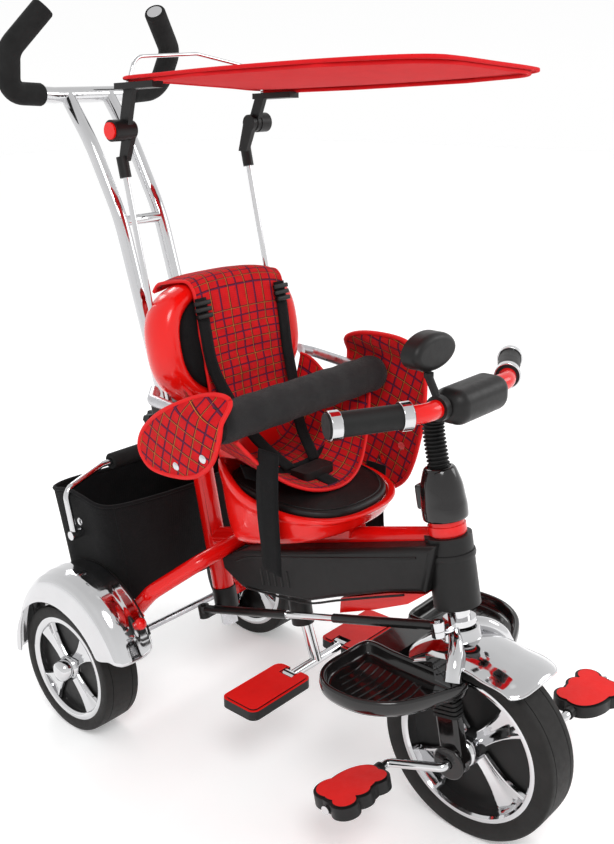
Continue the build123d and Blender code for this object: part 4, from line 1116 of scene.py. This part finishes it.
makeShroudLines(shroudLines)
softEdges = {
    "bar_cover": 0.003, "mirror_housing": 0.002, "handlebar": 0.0004, "hand_grips": 0.0015,
    "grip_rings": 0.0009, "fork_covers": 0.0012, "frame_shroud": 0.0022, "shroud_insert": 0.003, "crank": 0.0006,
    "push_lever": 0.001, "star_knob": 0.0012, "handle_yoke": 0.003, "push_grips": 0.003, "basket_grip": 0.002,
    "canopy_arms": 0.0012, "canopy_sockets": 0.001, "backrest_bracket": 0.004, "main_frame": 0.0012,
    "rear_arch": 0.0008, "push_tubes": 0.0004, "footrest_post": 0.0005, "fork": 0.0006, "mirror_clamp": 0.0008,
}
for node, width in softEdges.items():
    dressed(node, width)

# ---- basket: stitched cloth that sags between its corners, with hems, seams and rivets
print("stage: basket")
basketSettings = {"thick": 2.2, "sag": 9, "bow": 6, "corner": 5.5, "hem": 3.0, "sideRise": 14}
basketLow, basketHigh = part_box("basket")


def basketPoint(u, level, s):
    low, high = basketLow * 1000, basketHigh * 1000
    middle = (low + high) / 2
    halfTop = (high.x - low.x) / 2
    half = lerp(halfTop - 24, halfTop, level)
    long = (high.y - low.y) / 2
    x, y = roundedOutline(u, half, long, s["corner"])
    wallX = smoothStep(1 - abs(x) / half * 1.02)
    wallY = smoothStep(1 - abs(y) / long * 1.02)
    spot = Vector((x, y, level * 90)) / 52
    soft = noise(spot) * 2.4
    x -= powerSign(x, 0) * s["bow"] * wallY * sin(pi * level) * 0.6 - soft * wallY
    y -= powerSign(y, 0) * (s["bow"] * wallX * sin(pi * level * 0.9)) - soft * wallX
    top = high.z + s["sideRise"] * wallY - s["sag"] * wallX
    z = lerp(low.z, top, level)
    return Vector((x + middle.x, y + middle.y, z)) / 1000


def makeBasket(s):
    bm = emptyMesh()
    rows = 22

    def place(u, v):
        i = round(v * (rows + 8))
        if i < 8:
            edge = basketPoint(u, 0, s)
            centre = Vector(((basketLow.x + basketHigh.x) / 2, (basketLow.y + basketHigh.y) / 2, basketLow.z))
            p = centre.lerp(edge, i / 8)
            p.z += 0.002 * noise(p * 30)
            return p
        return basketPoint(u, (i - 8) / rows, s)

    surface(bm, 120, rows + 8, place, lambda u, v: (u * 1.0, v * 0.25))
    body = finishPiece("basketCloth", bm, blackCloth, ["basket"],
                       thickness=s["thick"] / 1000, sharp=70)
    bm = emptyMesh()
    tube(bm, [basketPoint(k / 120, 1.0, s) for k in range(120)], s["hem"], sides=10, closed=True)
    for corner in (0.125, 0.375, 0.625, 0.875):
        tube(bm, [basketPoint(corner, k / 20, s) for k in range(21)], 1.8, sides=8)
    finishPiece("basketHem", bm, blackCloth)
    bm = emptyMesh()
    for side, u in ((-1, 0.5), (1, 0.0)):
        turned(bm, basketPoint(u, 0.70, s), Vector((side, 0, 0)),
               [(0, 0.1), (0, 5.8), (2.2, 6), (3.8, 4.2), (4.6, 0.1)], 20)
    finishPiece("basketRivets", bm, chromePlate)


makeBasket(basketSettings)

# ---- canopy: one cloth stretched over the wire, sagging a little, with a stitched hem
print("stage: canopy")
canopySettings = {"sag": 7, "thick": 1.4, "hem": 2.4, "roll": 4.0, "pitch": 2.4, "clip": (0, 487, 963),
                  "above": 4.2, "middle": -235, "sleeveRise": 3.4, "sleeveRear": -8,
                  "edge": [(0, -473), (70, -473), (108, -462), (132, -410), (147, -310), (150, -190), (141, -80),
                           (129, 4), (60, 4), (0, 4)]}


def makeCanopy(s):
    half = smoothLine([(x, y, 0) for x, y in s["edge"]], 60)
    line = half + [Vector((-p.x, p.y, 0)) for p in reversed(half[1:-1])]
    count = len(line)
    tilt = spin(s["roll"], "Y") @ spin(-s["pitch"], "X")
    origin = at(*s["clip"])

    def canopyPoint(x, y, share):
        sag = s["sag"] * (1 - share ** 2) ** 1.2
        wave = 1.0 * noise(Vector((x, y, 0)) / 70)
        return origin + tilt @ (Vector((x, y, s["above"] - sag + wave * (1 - share))) / 1000)

    def place(u, v):
        p = line[round(u * count) % count]
        return canopyPoint(p.x * v, lerp(s["middle"], p.y, v), v)

    def cloth(u, v):
        p = line[round(u * count) % count]
        return p.x * v / 1000, (p.y - s["middle"]) * v / 1000

    def wirePaint(centre, normal):
        p = tilt.transposed() @ (centre - origin) * 1000
        return 1 if abs(p.z) < s["sleeveRise"] and p.y < s["sleeveRear"] else 0

    # the hoop runs in a red sleeve, its rear arch is bare
    dressed("canopy_wire", 0.0002, [chromePlate, redCloth], wirePaint)
    bm = emptyMesh()
    surface(bm, count, 26, place, cloth)
    top = finishPiece("canopyCloth", bm, redCloth, ["canopy_fabric"], "canopy",
                      thickness=s["thick"] / 1000)
    bm = emptyMesh()
    tube(bm, [canopyPoint(p.x, p.y, 1) for p in line], s["hem"], sides=10, closed=True)
    finishPiece("canopyHem", bm, redCloth, body="canopy")


makeCanopy(canopySettings)

makeCamera(cameraSettings)
makeStudio(studioSettings)
